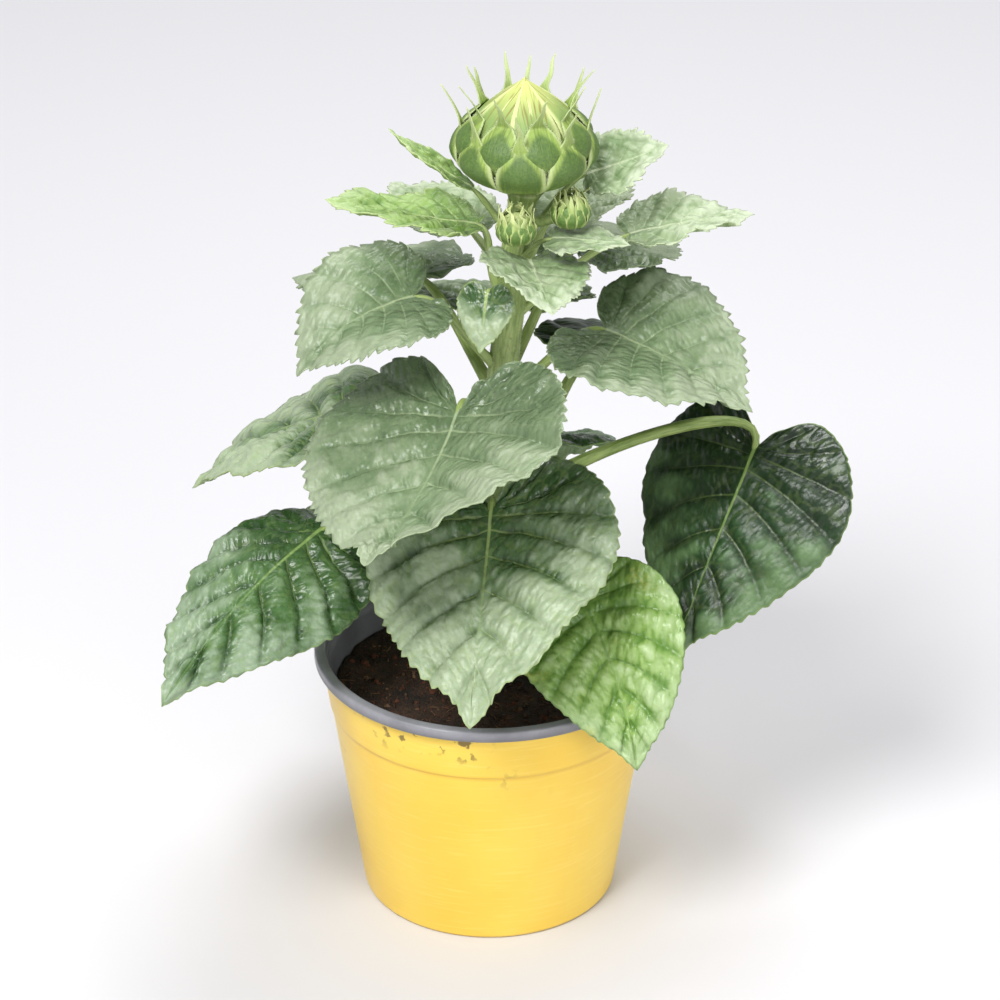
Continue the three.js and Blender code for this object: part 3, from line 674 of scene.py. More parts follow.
def stalk_paint(name, base, pale):
    """Leaf stalks and the stem: fine streaks along the stalk."""
    paint = Paint(name)
    streak = paint.noise(paint.place("weave"), 1.0, 3.0)
    share = streak * 0.75 + paint.noise(paint.place("flat"), 9.0) * 0.35
    paint.coat(share.step(0.36, 0.72), pale, base)
    return paint.done(Roughness=0.52, Normal=paint.bump(streak, 0.16))


def hair_paint(name, low, high):
    paint = Paint(name + "_hair")
    paint.coat(paint.noise(paint.body_place(), 0.01).step(0.3, 0.7), high, low)
    return paint.done(Roughness=0.5)


def bract_paint(name, belly, pale, tip):
    """Dark belly, partly the bract's own darker green and partly painted shade, lighter towards its foot;
    pale edges and tip, with fine lines up the bract.
    """
    paint = Paint(name)
    flat = paint.place("flat")
    wide, fine = paint.noise(flat, 5), paint.noise(flat, 0.8, 3)
    lines = paint.lines(flat, (1.6, 0.12, 1.0), 2)
    paint.coat((lines + wide * 0.4).step(0.55, 0.9), shade(pale, 0.62), pale)
    # The dark belly is partly the bract's own darker green and partly painted shade.
    inside = paint.number("belly") + (wide - 0.5) * 0.35
    paint.coat(inside.step(0.05, 0.9) * fine.step(0.2, 0.8, 1.0, 0.7), belly)
    paint.coat(paint.number("edge").step(0.78, 0.98, 0, 0.7), tip)
    paint.coat(paint.number("up").step(0.5, 0.95, 0, 0.8), tip)
    return paint.done(Roughness=fine * 0.2 + 0.42, Normal=paint.bump(fine + lines, 0.25))


def heart_paint(name):
    """The bud's closed heart: yellow-green, with yellow and brown streaks near the top."""
    paint = Paint(name)
    lines = paint.lines(paint.place("flat"), (1.3, 0.10, 0.8), 3)
    up = paint.number("up")
    paint.coat(up.step(0.5, 0.95), (0.52, 0.57, 0.17), (0.21, 0.32, 0.09))
    paint.coat(lines.step(0.52, 0.66) * up.step(0.3, 0.8, 0.45, 0.85), (0.20, 0.16, 0.03))
    paint.coat(paint.number("edge").step(0.7, 0.97, 0, 0.7), (0.70, 0.75, 0.35))
    return paint.done(Roughness=0.5, Normal=paint.bump(lines, 0.3))


def pot_paint():
    """Satin golden plastic with faint scuffs, and a few soil smudges under the rim."""
    paint = Paint("pot_plastic")
    place = paint.body_place()
    height = paint.height(place)
    rings = paint.lines(place, (60.0, 60.0, 900.0), 3)
    cloud, grit = paint.noise(place, 0.05, 3), paint.noise(place, 0.004, 4)
    paint.coat(cloud.step(0.3, 0.7), (0.90, 0.63, 0.09), (0.86, 0.56, 0.06))
    paint.coat(rings.step(0.50, 0.75, 0, 0.35), (0.97, 0.72, 0.19))
    # Painted shade: a darker band along the collar step.
    collar = height.step(0.0752, 0.0768) * height.step(0.0768, 0.0790, 1, 0)
    paint.coat(collar * 0.35, (0.62, 0.33, 0.03))
    smudge = grit.step(0.56, 0.63) * cloud.step(0.55, 0.68) * height.step(0.055, 0.092)
    paint.coat(smudge * 0.8, (0.07, 0.045, 0.02))
    return paint.done(Roughness=cloud * 0.12 + rings * 0.12 + 0.22, Normal=paint.bump(rings, 0.05))


def lining_paint():
    """Dark satin plastic, with dust in random patches, fine wear, and a painted highlight that makes the top
    of its rim lighter.
    """
    paint = Paint("lining_plastic")
    place = paint.body_place()
    cloud, grit = paint.noise(place, 0.02, 3), paint.noise(place, 0.0015, 3)
    dust_and_highlight = (cloud + grit * 0.15).step(0.3, 0.9, 0.4, 0.85)
    # Painted highlight: the top of the rim is lighter.
    dust_and_highlight = dust_and_highlight * paint.height(place).step(0.0955, 0.0995, 0.45, 1.0)
    paint.coat(dust_and_highlight, (0.44, 0.435, 0.475), (0.055, 0.056, 0.062))
    return paint.done(Roughness=cloud * 0.25 + 0.26, Normal=paint.bump(grit, 0.04))


def soil_paint(name, dark, brown):
    """Potting mix: damp, dark and brown in random patches, with a grainy bump."""
    paint = Paint(name)
    place = paint.body_place()
    wide, fine = paint.noise(place, 0.012, 3), paint.noise(place, 0.0006, 3)
    paint.coat((wide * 0.6 + fine * 0.5).step(0.38, 0.75), brown, dark)
    grain = paint.node("ShaderNodeTexVoronoi", {"Vector": place, "Scale": 1 / 0.0022})
    return paint.done(Roughness=0.9, Normal=paint.bump(grain * -1.2 + fine, 0.9))


# Leaves


def arc(start, gain, length, way):
    """Way travelled level and upward along an arc whose slope goes from start by gain over a length."""
    rate = gain if abs(gain) > 1e-6 else 1e-6
    end = start + rate * way / length
    scale = length / rate
    return scale * (np.sin(end) - math.sin(start)), scale * (math.cos(start) - np.cos(end)), end


def notch(leaf):
    return stem_point(leaf["node"]) + outward(leaf["turn"]) * leaf["reach"] + UP * leaf["rise"]


def blade_point(leaf, x, y, lift):
    """Place of flat blade points on the bent, folded and rolled blade, lifted off it."""
    pitch, bend, roll, fold, cup = (math.radians(leaf[key]) for key in LEAF_ANGLES)
    head = outward(leaf["head"])
    side = np.cross(head, UP)
    forward, rise, slope = arc(pitch, bend, leaf["length"], y)
    along = head * np.cos(slope)[..., None] + UP * np.sin(slope)[..., None]
    normal = np.cross(side, along)
    rolled_side = side * math.cos(roll) + np.cross(along, side) * math.sin(roll)
    rolled_normal = normal * math.cos(roll) + np.cross(along, normal) * math.sin(roll)
    away = np.hypot(x, MIDRIB_SOFT)
    level, rise_across, slope_across = arc(fold, cup, leaf["width"] / 2, away - MIDRIB_SOFT)
    slope_across = slope_across * np.abs(x) / away
    sideways = np.sign(x) * (level + np.abs(x) - away + MIDRIB_SOFT - lift * np.sin(slope_across))
    upward = rise_across + lift * np.cos(slope_across)
    return (notch(leaf) + head * forward[..., None] + UP * rise[..., None]
            + rolled_side * sideways[..., None] + rolled_normal * upward[..., None])


def outline_of(leaf, share):
    """Edge of the flat blade in millimetres, at shares of the way from notch to tip."""
    outline = mix(curve_through(BROAD_OUTLINE, share), curve_through(SLIM_OUTLINE, share), leaf["slim"])
    outline[..., 0] *= 1 - TIP_PINCH * (1 - leaf["slim"]) * bulge(outline[..., 1] - 0.9, 0.07)
    return outline * [leaf["width"] / 2, leaf["length"]]


def vein_root(leaf, share):
    """Where the line that ends at a place of the edge leaves the midrib, in millimetres from the notch."""
    return curve_through(VEIN_ROOTS, share)[..., 0] * leaf["length"]


def tooth_of(leaf):
    return SMALL_TOOTH if leaf["length"] < SMALL_LEAF else TOOTH


def blade_rows(leaf):
    """Rows of a blade from notch to tip: each one's share of the way, its height within its tooth,
    its place between two side veins, and the number of that gap."""
    tooth = tooth_of(leaf)
    rows = [(0.0, 0.0, 0.0, 0)]
    for number, (low, high) in enumerate(zip(VEIN_MARKS, VEIN_MARKS[1:])):
        line = outline_of(leaf, np.linspace(low, high, 12))
        teeth = max(1, round(travelled(line)[-1] / (TOOTH_PITCH * leaf["length"] + 1)))
        for k in range(1, teeth * len(tooth) + 1):
            share = k / (teeth * len(tooth))
            rows.append((mix(low, high, share), tooth[(k - 1) % len(tooth)], share, number))
    rows, bite, place, gap = np.array(rows).T
    return rows, bite, place, gap.astype(int)


def tooth_heights(leaf, bite, hand, span, rng):
    """How far the margin stands out at each row, in millimetres, on each side of the leaf."""
    tooth_rows = len(tooth_of(leaf))
    uneven = rng.uniform(0.45, 1.35, (len(bite) // tooth_rows + 1, 2))
    uneven = np.repeat(uneven, tooth_rows, axis=0)
    uneven = np.concatenate([uneven[:1], uneven])[:len(bite)]
    uneven = np.where(hand < 0, uneven[:, :1], uneven[:, 1:])
    return leaf["teeth"] * uneven * (bite[:, None] - 0.4) * np.minimum(1, span / 14)


def blade_grid(leaf, rng):
    """Flat grid of a blade: where each point is, where it is between the side veins, and its distance
    to the nearest one in millimetres, less for a strong vein."""
    rows, bite, place, gap = blade_rows(leaf)
    columns = SMALL_COLUMNS if leaf["length"] < SMALL_LEAF else COLUMNS
    across = np.linspace(-1, 1, 2 * columns + 1)
    across = (np.sign(across) * np.abs(across) ** 1.2)[None]
    side, hand = np.abs(across), np.sign(across)
    edge = outline_of(leaf, rows)
    root = vein_root(leaf, rows)
    span = np.hypot(edge[:, 0], edge[:, 1] - root)[:, None]
    teeth = tooth_heights(leaf, bite, hand, span, rng)
    grow = 1 + side ** 9 * teeth / np.maximum(span, 1)
    sweep = side * (1 - VEIN_SWEEP) + VEIN_SWEEP * side ** 2
    x = hand * edge[:, :1] * side * grow
    y = mix(root[:, None], edge[:, 1:], sweep * grow) + 0.5 * side ** 9 * np.maximum(teeth, 0)
    along_vein = np.abs(x) * math.cos(VEIN_SLOPE) + y * math.sin(VEIN_SLOPE)
    across_vein = y * math.cos(VEIN_SLOPE) - np.abs(x) * math.sin(VEIN_SLOPE)
    edge_marks = np.interp(VEIN_MARKS, rows, travelled(edge))
    spacing = mix(np.diff(vein_root(leaf, VEIN_MARKS))[gap][:, None], np.diff(edge_marks)[gap][:, None], side)
    place, strengths = place[:, None], VEIN_STRENGTHS[:, None]
    nearest = np.minimum(place * spacing / strengths[gap], (1 - place) * spacing / strengths[gap + 1])
    return {
        "rows": rows[:, None], "x": x, "y": y, "side": side, "hand": hand, "span": span,
        "place": place, "spacing": spacing, "vein": nearest + 0.5 * side ** 2,
        "weave": np.stack([along_vein, across_vein / CELL_STRETCH], -1),
    }


def blade_relief(leaf, grid, number, rng):
    """Height of the upper side above the plain blade: folds along the veins, puffed cells between
    them, and a rippled margin."""
    keys = ("side", "span", "x", "y", "rows", "hand", "place", "spacing", "vein")
    side, span, x, y, rows, hand, place, spacing, vein = (grid[key] for key in keys)
    flat = np.stack([x, y], -1)
    look = FINISHES[leaf["finish"]]
    puffed = look["puffed"] * leaf["length"] / 85
    inner = smooth(side, 0.01, 0.12) * (1 - 0.6 * smooth(side, 0.85, 1.0))
    warp = np.stack([ripple(flat, 9, number), ripple(flat, 9, number + 50)], -1)
    border, own = cells(grid["weave"] + warp + 90 * (hand > 0)[..., None], CELL_SIZE, number)
    border = CELL_SIZE * border
    apart = smooth(spacing, 1, 9)
    panel = np.sin(math.pi * place) * np.minimum(spacing / 12, 1.3)
    panel = panel * (0.8 + 0.4 * ripple(flat, 20, number + 200))
    pillow = (1 - np.exp(-np.minimum(border, 1.4 * vein + 3 * (1 - apart)) / 0.9)) * (0.4 + 1.2 * own)
    fold = look["folds"] * (0.8 * (panel - 0.5) - 0.8 * bulge(vein, 2.4)) - 0.3 * bulge(vein, 0.6)
    valley = -1.3 * bulge(x, 7.0) * smooth(y, 1, 14) * (1 - 0.8 * rows)
    lump = 1.5 * ripple(flat, 0.30 * leaf["length"], number + 100) * smooth(side, 0, 0.4)
    phase = rng.uniform(0, 6, 4)
    wave = (np.sin(17 * rows + phase[0] + 2.3 * hand)
            + 0.6 * np.sin(41 * rows + phase[1] + phase[2] * hand)
            + 0.4 * np.sin(73 * rows + phase[3] - hand))
    taper = np.clip(span / 9, 0.2, 1)
    height = puffed * (0.85 * (pillow - 0.45) + fold * apart) * inner + valley + puffed * lump
    return {
        "height": height * taper + leaf["wave"] * side ** 3 * wave * np.minimum(1, span / 12),
        "lift": (pillow - 0.45 + 0.7 * look["folds"] * (panel - 0.6)) * inner,
        "vein": vein + 1.2 * (1 - apart) ** 3, "border": border, "taper": taper, "inner": inner,
    }


def blade_part(leaf, number):
    """The blade as a thin closed sheet, with the numbers that its paint reads."""
    rng = np.random.default_rng(number)
    grid = blade_grid(leaf, rng)
    relief = blade_relief(leaf, grid, number, rng)
    x, y, side, rows = (grid[key] for key in ("x", "y", "side", "rows"))
    thick = BLADE_HALF * mix(1, 0.6, side ** 2) * relief["taper"]
    veins = (0.9 * bulge(x, 1.3) * (1 - 0.75 * rows)
             + 0.7 * bulge(relief["vein"], 0.8) * (1 - 0.7 * side) * relief["inner"])
    top = blade_point(leaf, x, y, relief["height"] + thick)
    bottom = blade_point(leaf, x, y, relief["height"] - thick - veins * relief["taper"])
    low = np.array([x.min(), y.min()])
    scale = min(0.46 / (x.max() - x.min()), 0.78 / (y.max() - y.min()))
    spots = (np.stack([x, y], -1) - low) * scale + 0.02
    part = sheet_part(top, bottom, spots, True, {
        "flat": np.stack([x, y, 0 * x], -1), "weave": np.concatenate([grid["weave"], 0 * x[..., None]], -1),
        "lift": relief["lift"], "vein": relief["vein"], "net": relief["border"], "out": side + 0 * x,
        "rib": np.abs(x) / (1.2 - 0.85 * rows), "edge": (1 - side) * grid["span"],
        "along": y / leaf["length"],
    })
    part["values"]["under"] = np.repeat([0.0, 1.0], len(part["points"]) // 2)
    return part


def stalk_path(leaf):
    """Middle line and radii of a leaf stalk, from inside the stem to the notch and on under the blade."""
    foot, end = stem_point(leaf["node"]), notch(leaf)
    length = leaf["length"]
    span = np.linalg.norm(end - foot)
    pitch = math.radians(leaf["pitch"])
    entry = outward(leaf["head"]) * math.cos(pitch) + UP * math.sin(pitch)
    lead = foot + outward(leaf["turn"]) * STALK_OUT * span + UP * STALK_UP * span
    close = end - entry * STALK_ENTRY * span
    bow = bezier([foot, lead, close, end], np.linspace(0, 1, 26)[:, None])
    radius = STALK_RADIUS_SHARE * length + STALK_LEAST_RADIUS
    inside = np.linalg.norm((bow - foot)[:, :2], axis=1) < 0.35 * stem_radius(leaf["node"])
    bow = bow[np.count_nonzero(inside):]
    bow[-1] -= UP * 0.3 * radius
    reach = np.linspace(0.03, RIB_REACH, 10)
    valley = 1.3 * smooth(reach * length, 1, 14) * mix(1, 0.75, reach)
    sink = -radius * mix(0.5, 0.25, reach / RIB_REACH) - 0.5 - valley
    path = np.concatenate([bow, blade_point(leaf, 0 * reach, reach * length, sink)])
    way = travelled(path)
    split = way[len(bow) - 1]
    even = np.linspace(0, way[-1], STALK_ROWS)
    path = np.stack([np.interp(even, way, path[:, k]) for k in range(3)], -1)
    path[1:-1] = 0.25 * path[:-2] + 0.5 * path[1:-1] + 0.25 * path[2:]
    stalk = mix(STALK_FLARE, 1, np.minimum(1, 2 * even / split)) + 0.35 * np.exp(-even / (2.2 * radius))
    stalk = stalk * mix(1, 0.62, smooth(even / split, 0.7, 1))
    rib = mix(0.62, 0.22, (even - split) / (way[-1] - split))
    return path, radius * np.where(even < split, stalk, rib)


def stalk_section(angles):
    """A leaf stalk is channelled along its upper side."""
    channel = bulge(np.angle(np.exp(1j * angles)), 0.5)
    return 1 + 0.06 * np.abs(np.sin(angles)) - 0.16 * channel + 0.02 * np.cos(7 * angles)


def streaks(part, count):
    """Places for streaks that run along a tube, about six times count of them round it."""
    turn = 2 * math.pi * part["round"]
    return np.stack([part["along"] / STREAK_LENGTH, np.cos(turn) * count, np.sin(turn) * count], -1)


def stalk_part(leaf):
    path, radii = stalk_path(leaf)
    part = tube_part(path, UP, radii, 16, stalk_section)
    part["slot"] = 1
    part["values"] = {**plain_values(part, BLADE_NUMBERS), "weave": streaks(part, 3)}
    return place_map(part, 0.02, 0.83, 0.98, 0.98)


def build_leaves():
    old = stalk_paint("leaf_stalk_old", (0.16, 0.24, 0.05), (0.33, 0.42, 0.13))
    young = stalk_paint("leaf_stalk_young", (0.22, 0.31, 0.08), (0.40, 0.49, 0.19))
    for number, leaf in enumerate(LEAVES, 1):
        name = f"leaf_{number:02d}"
        blade = blade_paint(name + "_blade", leaf["finish"], number)
        slot, stalk = ("young_leaf", young) if leaf["length"] < SMALL_LEAF else ("old_leaf", old)
        make_piece(name + "_green", [blade_part(leaf, number), stalk_part(leaf)], [blade, stalk], slot, name)


# Stem


def stem_section(angles):
    return 1 + 0.018 * np.cos(13 * angles) + 0.01 * np.cos(8 * angles + 1)


def build_stem():
    heights = np.linspace(STEM_FOOT, STEM_TOP, 120)
    radii = stem_radius(heights)
    for leaf in LEAVES:
        radii = radii + 0.35 * bulge(heights - leaf["node"], 3.2) * leaf["length"] / 80
    swell = np.clip((heights - (STEM_TOP - STEM_SWELL_HEIGHT)) / STEM_SWELL_HEIGHT, 0, 1)
    part = tube_part(stem_point(heights), FRONT, radii + STEM_SWELL * swell ** 2, 52, stem_section)
    part["values"] = {**plain_values(part, ()), "weave": streaks(part, 6)}
    paint = stalk_paint("stem_skin", (0.17, 0.25, 0.06), (0.36, 0.45, 0.16))
    make_piece("stem_green", [part], [paint], "stem", "stem")


def make_hairs(name, roots, ways, radius, low, high):
    """Slim closed three-sided hairs from roots along ways, in colours from low to high."""
    side = unit(np.cross(ways, UP + 0.01))
    other = unit(np.cross(ways, side))
    corners = [roots + radius * (math.cos(angle) * side + math.sin(angle) * other)
               for angle in (0, 2 * math.pi / 3, 4 * math.pi / 3)]
    points = np.stack([*corners, roots + ways], 1).reshape(-1, 3)
    hair = np.array([[0, 1, 2], [0, 3, 1], [1, 3, 2], [2, 3, 0]])
    part = {"points": points, "faces": [copies(hair, 4, len(roots))]}
    make_piece(name + "_hairs", [part], [hair_paint(name, low, high)], name)


def copies(faces, step, count):
    """Faces of count copies of a body, whose point numbers go up by a step from one to the next."""
    return (faces[None] + step * np.arange(count)[:, None, None]).reshape(-1, 3)


def build_stem_hairs():
    """Short pale bristles all over the stem."""
    rng = np.random.default_rng(53)
    height = rng.uniform(STEM_FOOT + 3, STEM_TOP - 5, HAIR_COUNT)
    turn = rng.uniform(0, 2 * math.pi, HAIR_COUNT)
    out = np.stack([np.sin(turn), -np.cos(turn), 0 * turn], -1)
    roots = stem_point(height) + out * (stem_radius(height) - 0.2)[:, None]
    one_each = (HAIR_COUNT, 1)
    lean = rng.uniform(-0.5, 0.3, one_each) * UP + rng.uniform(-0.3, 0.3, one_each) * np.cross(out, UP)
    ways = (out + lean) * rng.uniform(*HAIR_LENGTH, one_each)
    make_hairs("stem", roots, ways, HAIR_RADIUS, (0.42, 0.50, 0.24), (0.62, 0.68, 0.44))


# Bud and side buds


def dome_radius(height):
    """Radius of the closed bud at a height above its base."""
    dense = curve_through(BUD_PROFILE, np.linspace(0, 1, 200))
    return BUD_RADIUS * np.interp(height, dense[:, 1], dense[:, 0])


def bract_part(head, turn, ring, rng):
    """One bract as a thin shell: a round belly against its head, and a narrow tip that leaves it."""
    up, width, off, thick = curve_through(ring["stations"], np.linspace(0, 1, ring["rows"])).T[..., None]
    across = np.linspace(-1, 1, 2 * ring["columns"] + 1)[None]
    height = mix(ring["low"], ring["top"], up)
    neck = mix(ring["low"], ring["top"], BRACT_NECK)
    past = np.maximum(0, up - BRACT_NECK) / (1 - BRACT_NECK)
    off = off * ring["scale"]
    if ring["closed"]:
        radius = np.maximum(0.2, head["radius_at"](height) + off - ring["inset"])
    else:
        radius = mix(head["radius_at"](np.minimum(height, neck)) + off, head["radius"] + ring["spread"], past)
    x = across * (width * ring["width"] / 2)
    belly = bulge(up - 0.30, 0.20) * (1 - across ** 2)
    lips = smooth(np.abs(across), 0.70, 1.0) * (1 - smooth(up, 0.18, 0.45))
    radius = radius - x ** 2 / (2 * head["radius"]) + ring["belly"] * belly + ring["lips"] * lips
    radius = radius - 0.18 * ring["scale"] * bulge(across, 0.12) * (1 - past)
    sway = rng.uniform(-1, 1, 3) * ring["sway"]
    x = x + sway[0] * past ** 2 + 0.35 * sway[1] * np.sin(9 * past)
    radius = radius + sway[2] * past ** 2
    out = outward(turn)
    middle = head["centre"] + out * radius[..., None] + UP * (height + 0 * across)[..., None]
    middle = middle + np.cross(out, UP) * x[..., None]
    half = out * (0.5 * thick * ring["thickness"] * np.sqrt(1 - 0.7 * across ** 2))[..., None]
    spots = np.stack([0.04 + 0.42 * (0.5 + across * width / 2), 0.04 + 0.92 * up + 0 * across], -1)
    # Mask of the dark belly: partly the bract's own darker green, partly painted shade.
    rim = np.hypot(across, np.maximum(0, up - 0.2) / ring["shade"])
    part = sheet_part(middle + half, middle - half, spots, False, {
        "belly": smooth(up, -0.14, 0.32) * (1 - smooth(rim, 0.66, 1.02)),
        "up": up + 0 * across, "edge": np.abs(across) + 0 * up,
        "flat": np.stack([x, height + 0 * across, 0 * x + turn], -1),
    })
    edges = [(middle[:, 0], middle[:, 1]), (middle[:, -1], middle[:, -2])]
    return {**part, "slot": int(ring["closed"]), "edges": edges, "out": out}


def head_parts(head, rings, rng):
    parts = []
    for ring in rings:
        for k in range(ring["count"]):
            turn = ring["start"] + 360 * k / ring["count"] + rng.uniform(-1, 1) * ring["scatter"]
            parts.append(bract_part(head, turn, ring, rng))
    return parts


def dome_part(profile, centre, sides, slot):
    part = lathe_part(profile, sides)
    height = part["points"][:, 2]
    part["values"] = {**plain_values(part, ("belly", "edge")), "up": height / height.max()}
    return {**part, "points": part["points"] + centre, "slot": slot}


def atlas(parts):
    """Gives each part its own cell of the bake map."""
    wide = math.ceil(math.sqrt(len(parts)))
    for k, part in enumerate(parts):
        u, v = (k % wide) / wide, (k // wide) / wide
        place_map(part, u, v, u + 1 / wide, v + 1 / wide)
    return parts


def build_bud_hairs(bracts, rng):
    """Fine pale hairs along the edges of the open bracts."""
    roots, ways = [], []
    for bract in bracts:
        for edge, inner in bract["edges"]:
            share = rng.uniform(0.08, 0.62, EDGE_HAIRS) * (len(edge) - 1)
            row = share.astype(int)
            part = (share - row)[:, None]
            root, behind = (mix(line[row], line[row + 1], part) for line in (edge, inner))
            way = unit(root - behind) + 0.5 * bract["out"] + UP * 0.4
            way = way + 0.35 * rng.normal(size=(EDGE_HAIRS, 3))
            roots.append(root)
            ways.append(unit(way) * rng.uniform(*EDGE_HAIR_LENGTH, (EDGE_HAIRS, 1)))
    roots, ways = np.concatenate(roots), np.concatenate(ways)
    make_hairs("bud", roots, ways, EDGE_HAIR_RADIUS, (0.50, 0.58, 0.30), (0.68, 0.74, 0.50))


def build_bud(paints):
    rng = np.random.default_rng(7)
    centre = stem_point(STEM_TOP) * [1, 1, 0] + UP * BUD_BASE
    head = {"centre": centre, "radius": BUD_RADIUS, "radius_at": dome_radius}
    heights = np.linspace(0, BUD_APEX, 40)
    profile = [(0, 0), *zip(np.maximum(0.95, dome_radius(heights) - 0.6), heights),
               (0.55, BUD_APEX + 0.6), (0, BUD_APEX + 0.9)]
    bracts = head_parts(head, BRACT_RINGS, rng)
    make_piece("bud_green", atlas([dome_part(profile, centre, 64, 1), *bracts]), paints, "bud", "bud")
    build_bud_hairs([bract for bract in bracts if bract["slot"] == 0], rng)


def build_side_bud(spec, paints, rng):
    radius, reach = spec["radius"], spec["reach"]
    foot = stem_point(spec["node"])
    out = outward(spec["turn"])
    centre = (foot + out * reach) * [1, 1, 0] + UP * (spec["top"] - SIDE_BRACT_TOP * radius)
    head = {"centre": centre, "radius": radius,
            "radius_at": lambda height: np.sqrt(np.maximum(0.1, radius ** 2 - height ** 2))}
    rings = [{**ring, **{key: ring[key] * radius for key in SIDE_SIZES}} for ring in SIDE_RINGS]
    slopes = np.linspace(-math.pi / 2, math.pi / 2, 20)
    heart = SIDE_HEART * radius
    profile = [(heart * math.cos(slope), heart * math.sin(slope)) for slope in slopes]
    lead = foot + out * SIDE_STALK_OUT * reach + UP * SIDE_STALK_UP * reach
    path = bezier([foot, lead, centre], np.linspace(0.2, 1, SIDE_STALK_ROWS)[:, None])
    stalk = tube_part(path, UP, np.full(SIDE_STALK_ROWS, SIDE_STALK_SHARE * radius), 14)
    stalk = {**stalk, "slot": 2, "values": plain_values(stalk, ("belly", "edge", "up"))}
    parts = [stalk, dome_part(profile, centre, 32, 0), *head_parts(head, rings, rng)]
    for part in parts:
        part["values"]["weave"] = part["values"]["flat"] / 2
    make_piece(spec["name"] + "_green", atlas(parts), paints, "young_leaf", spec["name"])


def build_buds():
    green = bract_paint("bract_outer", (0.060, 0.125, 0.022), (0.28, 0.40, 0.08), (0.52, 0.60, 0.29))
    curled = bract_paint("bract_side", (0.09, 0.18, 0.035), (0.33, 0.45, 0.12), (0.60, 0.66, 0.30))
    build_bud([green, heart_paint("bud_heart")])
    stalk = stalk_paint("side_bud_stalk", (0.20, 0.30, 0.08), (0.38, 0.47, 0.18))
    rng = np.random.default_rng(19)
    for spec in SIDE_BUDS:
        build_side_bud(spec, [curled, heart_paint(spec["name"] + "_heart"), stalk], rng)


# Pot, lining and soil


def pot_radius(height):
    return mix(POT_BASE_RADIUS, POT_TOP_RADIUS, height / (POT_HEIGHT - RIM_DROP))


def lining_radius(height):
    return pot_radius(height) - POT_WALL - GAP


def lining_inside(height):
    return lining_radius(height) - POT_WALL


SOIL_EDGE = lining_inside(SOIL_LEVEL - SOIL_EDGE_DROP)
SOIL_FOOT = POT_FLOOR + GAP


def rounded(profile, reach):
    """A profile with its corners rounded off, starting reach before each one."""
    profile = np.array(profile, float)
    line = [profile[0]]
    for before, corner, after in zip(profile, profile[1:], profile[2:]):
        cut = [min(reach, 0.45 * np.linalg.norm(end - corner)) for end in (before, after)]
        start = corner + unit(before - corner) * cut[0]
        end = corner + unit(after - corner) * cut[1]
        line += [bezier([start, corner, end], share) for share in np.linspace(0, 1, 5)]
    return np.array([*line, profile[-1]])


def cut_drains(pot):
    """Cuts the drain holes through the pot's floor."""
    drills = []
    for k in range(DRAIN_COUNT):
        spot = outward(360 * k / DRAIN_COUNT) * DRAIN_CIRCLE
        path = np.linspace(spot - UP * 4, spot + UP * 2 * POT_FLOOR, 3)
        drills.append(tube_part(path, RIGHT, np.full(3, DRAIN_RADIUS), 40))
    points, faces, *_ = join_parts(drills)
    mesh = bpy.data.meshes.new("drill")
    mesh.from_pydata((points * MM).tolist(), [], [list(map(int, face)) for group in faces for face in group])
    drill = add_object("drill", mesh)
    cut = pot.modifiers.new("drain", "BOOLEAN")
    cut.object = drill
    cut.solver = "EXACT"
    bpy.context.view_layer.objects.active = pot
    bpy.ops.object.modifier_apply(modifier="drain")
    bpy.data.objects.remove(drill)


def build_pot():
    top = POT_HEIGHT - RIM_DROP - GAP
    step, collar, base = POT_COLLAR_STEP, POT_COLLAR_LEVEL, POT_BASE_RADIUS
    profile = rounded([
        (0, POT_RECESS), (base - 7, POT_RECESS), (base - 6, 0), (base - 1, 0), (base, 1),
        (pot_radius(collar), collar), (pot_radius(collar) + step, collar + step),
        (pot_radius(top) + step, top), (pot_radius(top) - POT_WALL, top),
        (pot_radius(POT_FLOOR) - POT_WALL, POT_FLOOR), (0, POT_FLOOR),
    ], 0.8)
    part = bare(lathe_part(profile, POT_SIDES))
    pot = make_piece("pot_body", [part], [pot_paint()], "pot", "pot")
    cut_drains(pot)


def build_lining():
    foot = SOIL_FOOT
    under_rim = POT_HEIGHT - RIM_DROP
    split = foot + LINING_SPLIT
    inside = RIM_RADIUS - RIM_WIDTH
    profile = [
        (lining_inside(split), split), (lining_inside(foot), foot), (lining_radius(foot), foot),
        (lining_radius(under_rim), under_rim), (RIM_RADIUS, under_rim), (RIM_RADIUS, POT_HEIGHT),
        (inside, POT_HEIGHT), (inside, under_rim), (lining_inside(under_rim), under_rim - RIM_THROAT),
        (lining_inside(split), split),
    ]
    part = bare(lathe_part(rounded(profile, 1.1), POT_SIDES))
    make_piece("lining_body", [part], [lining_paint()], "pot_lining", "pot_lining")


def soil_height(radius, turn):
    """Height of the soil's surface at places on it, with its lumps."""
    share = np.clip(radius / (SOIL_EDGE - GAP), 0, 1)
    spots = np.stack([radius * np.cos(turn), radius * np.sin(turn)], -1)
    lumps = 0.9 * ripple(spots, 14, 3) + 0.55 * ripple(spots, 5, 4) + 0.35 * ripple(spots, 2.2, 5)
    return SOIL_LEVEL - SOIL_DIP - (SOIL_EDGE_DROP - 0.6) * share ** 2 + lumps * (0.6 + 0.4 * share)


def round_points(radius, turn, height):
    return np.stack([radius * np.cos(turn), radius * np.sin(turn), height], -1)


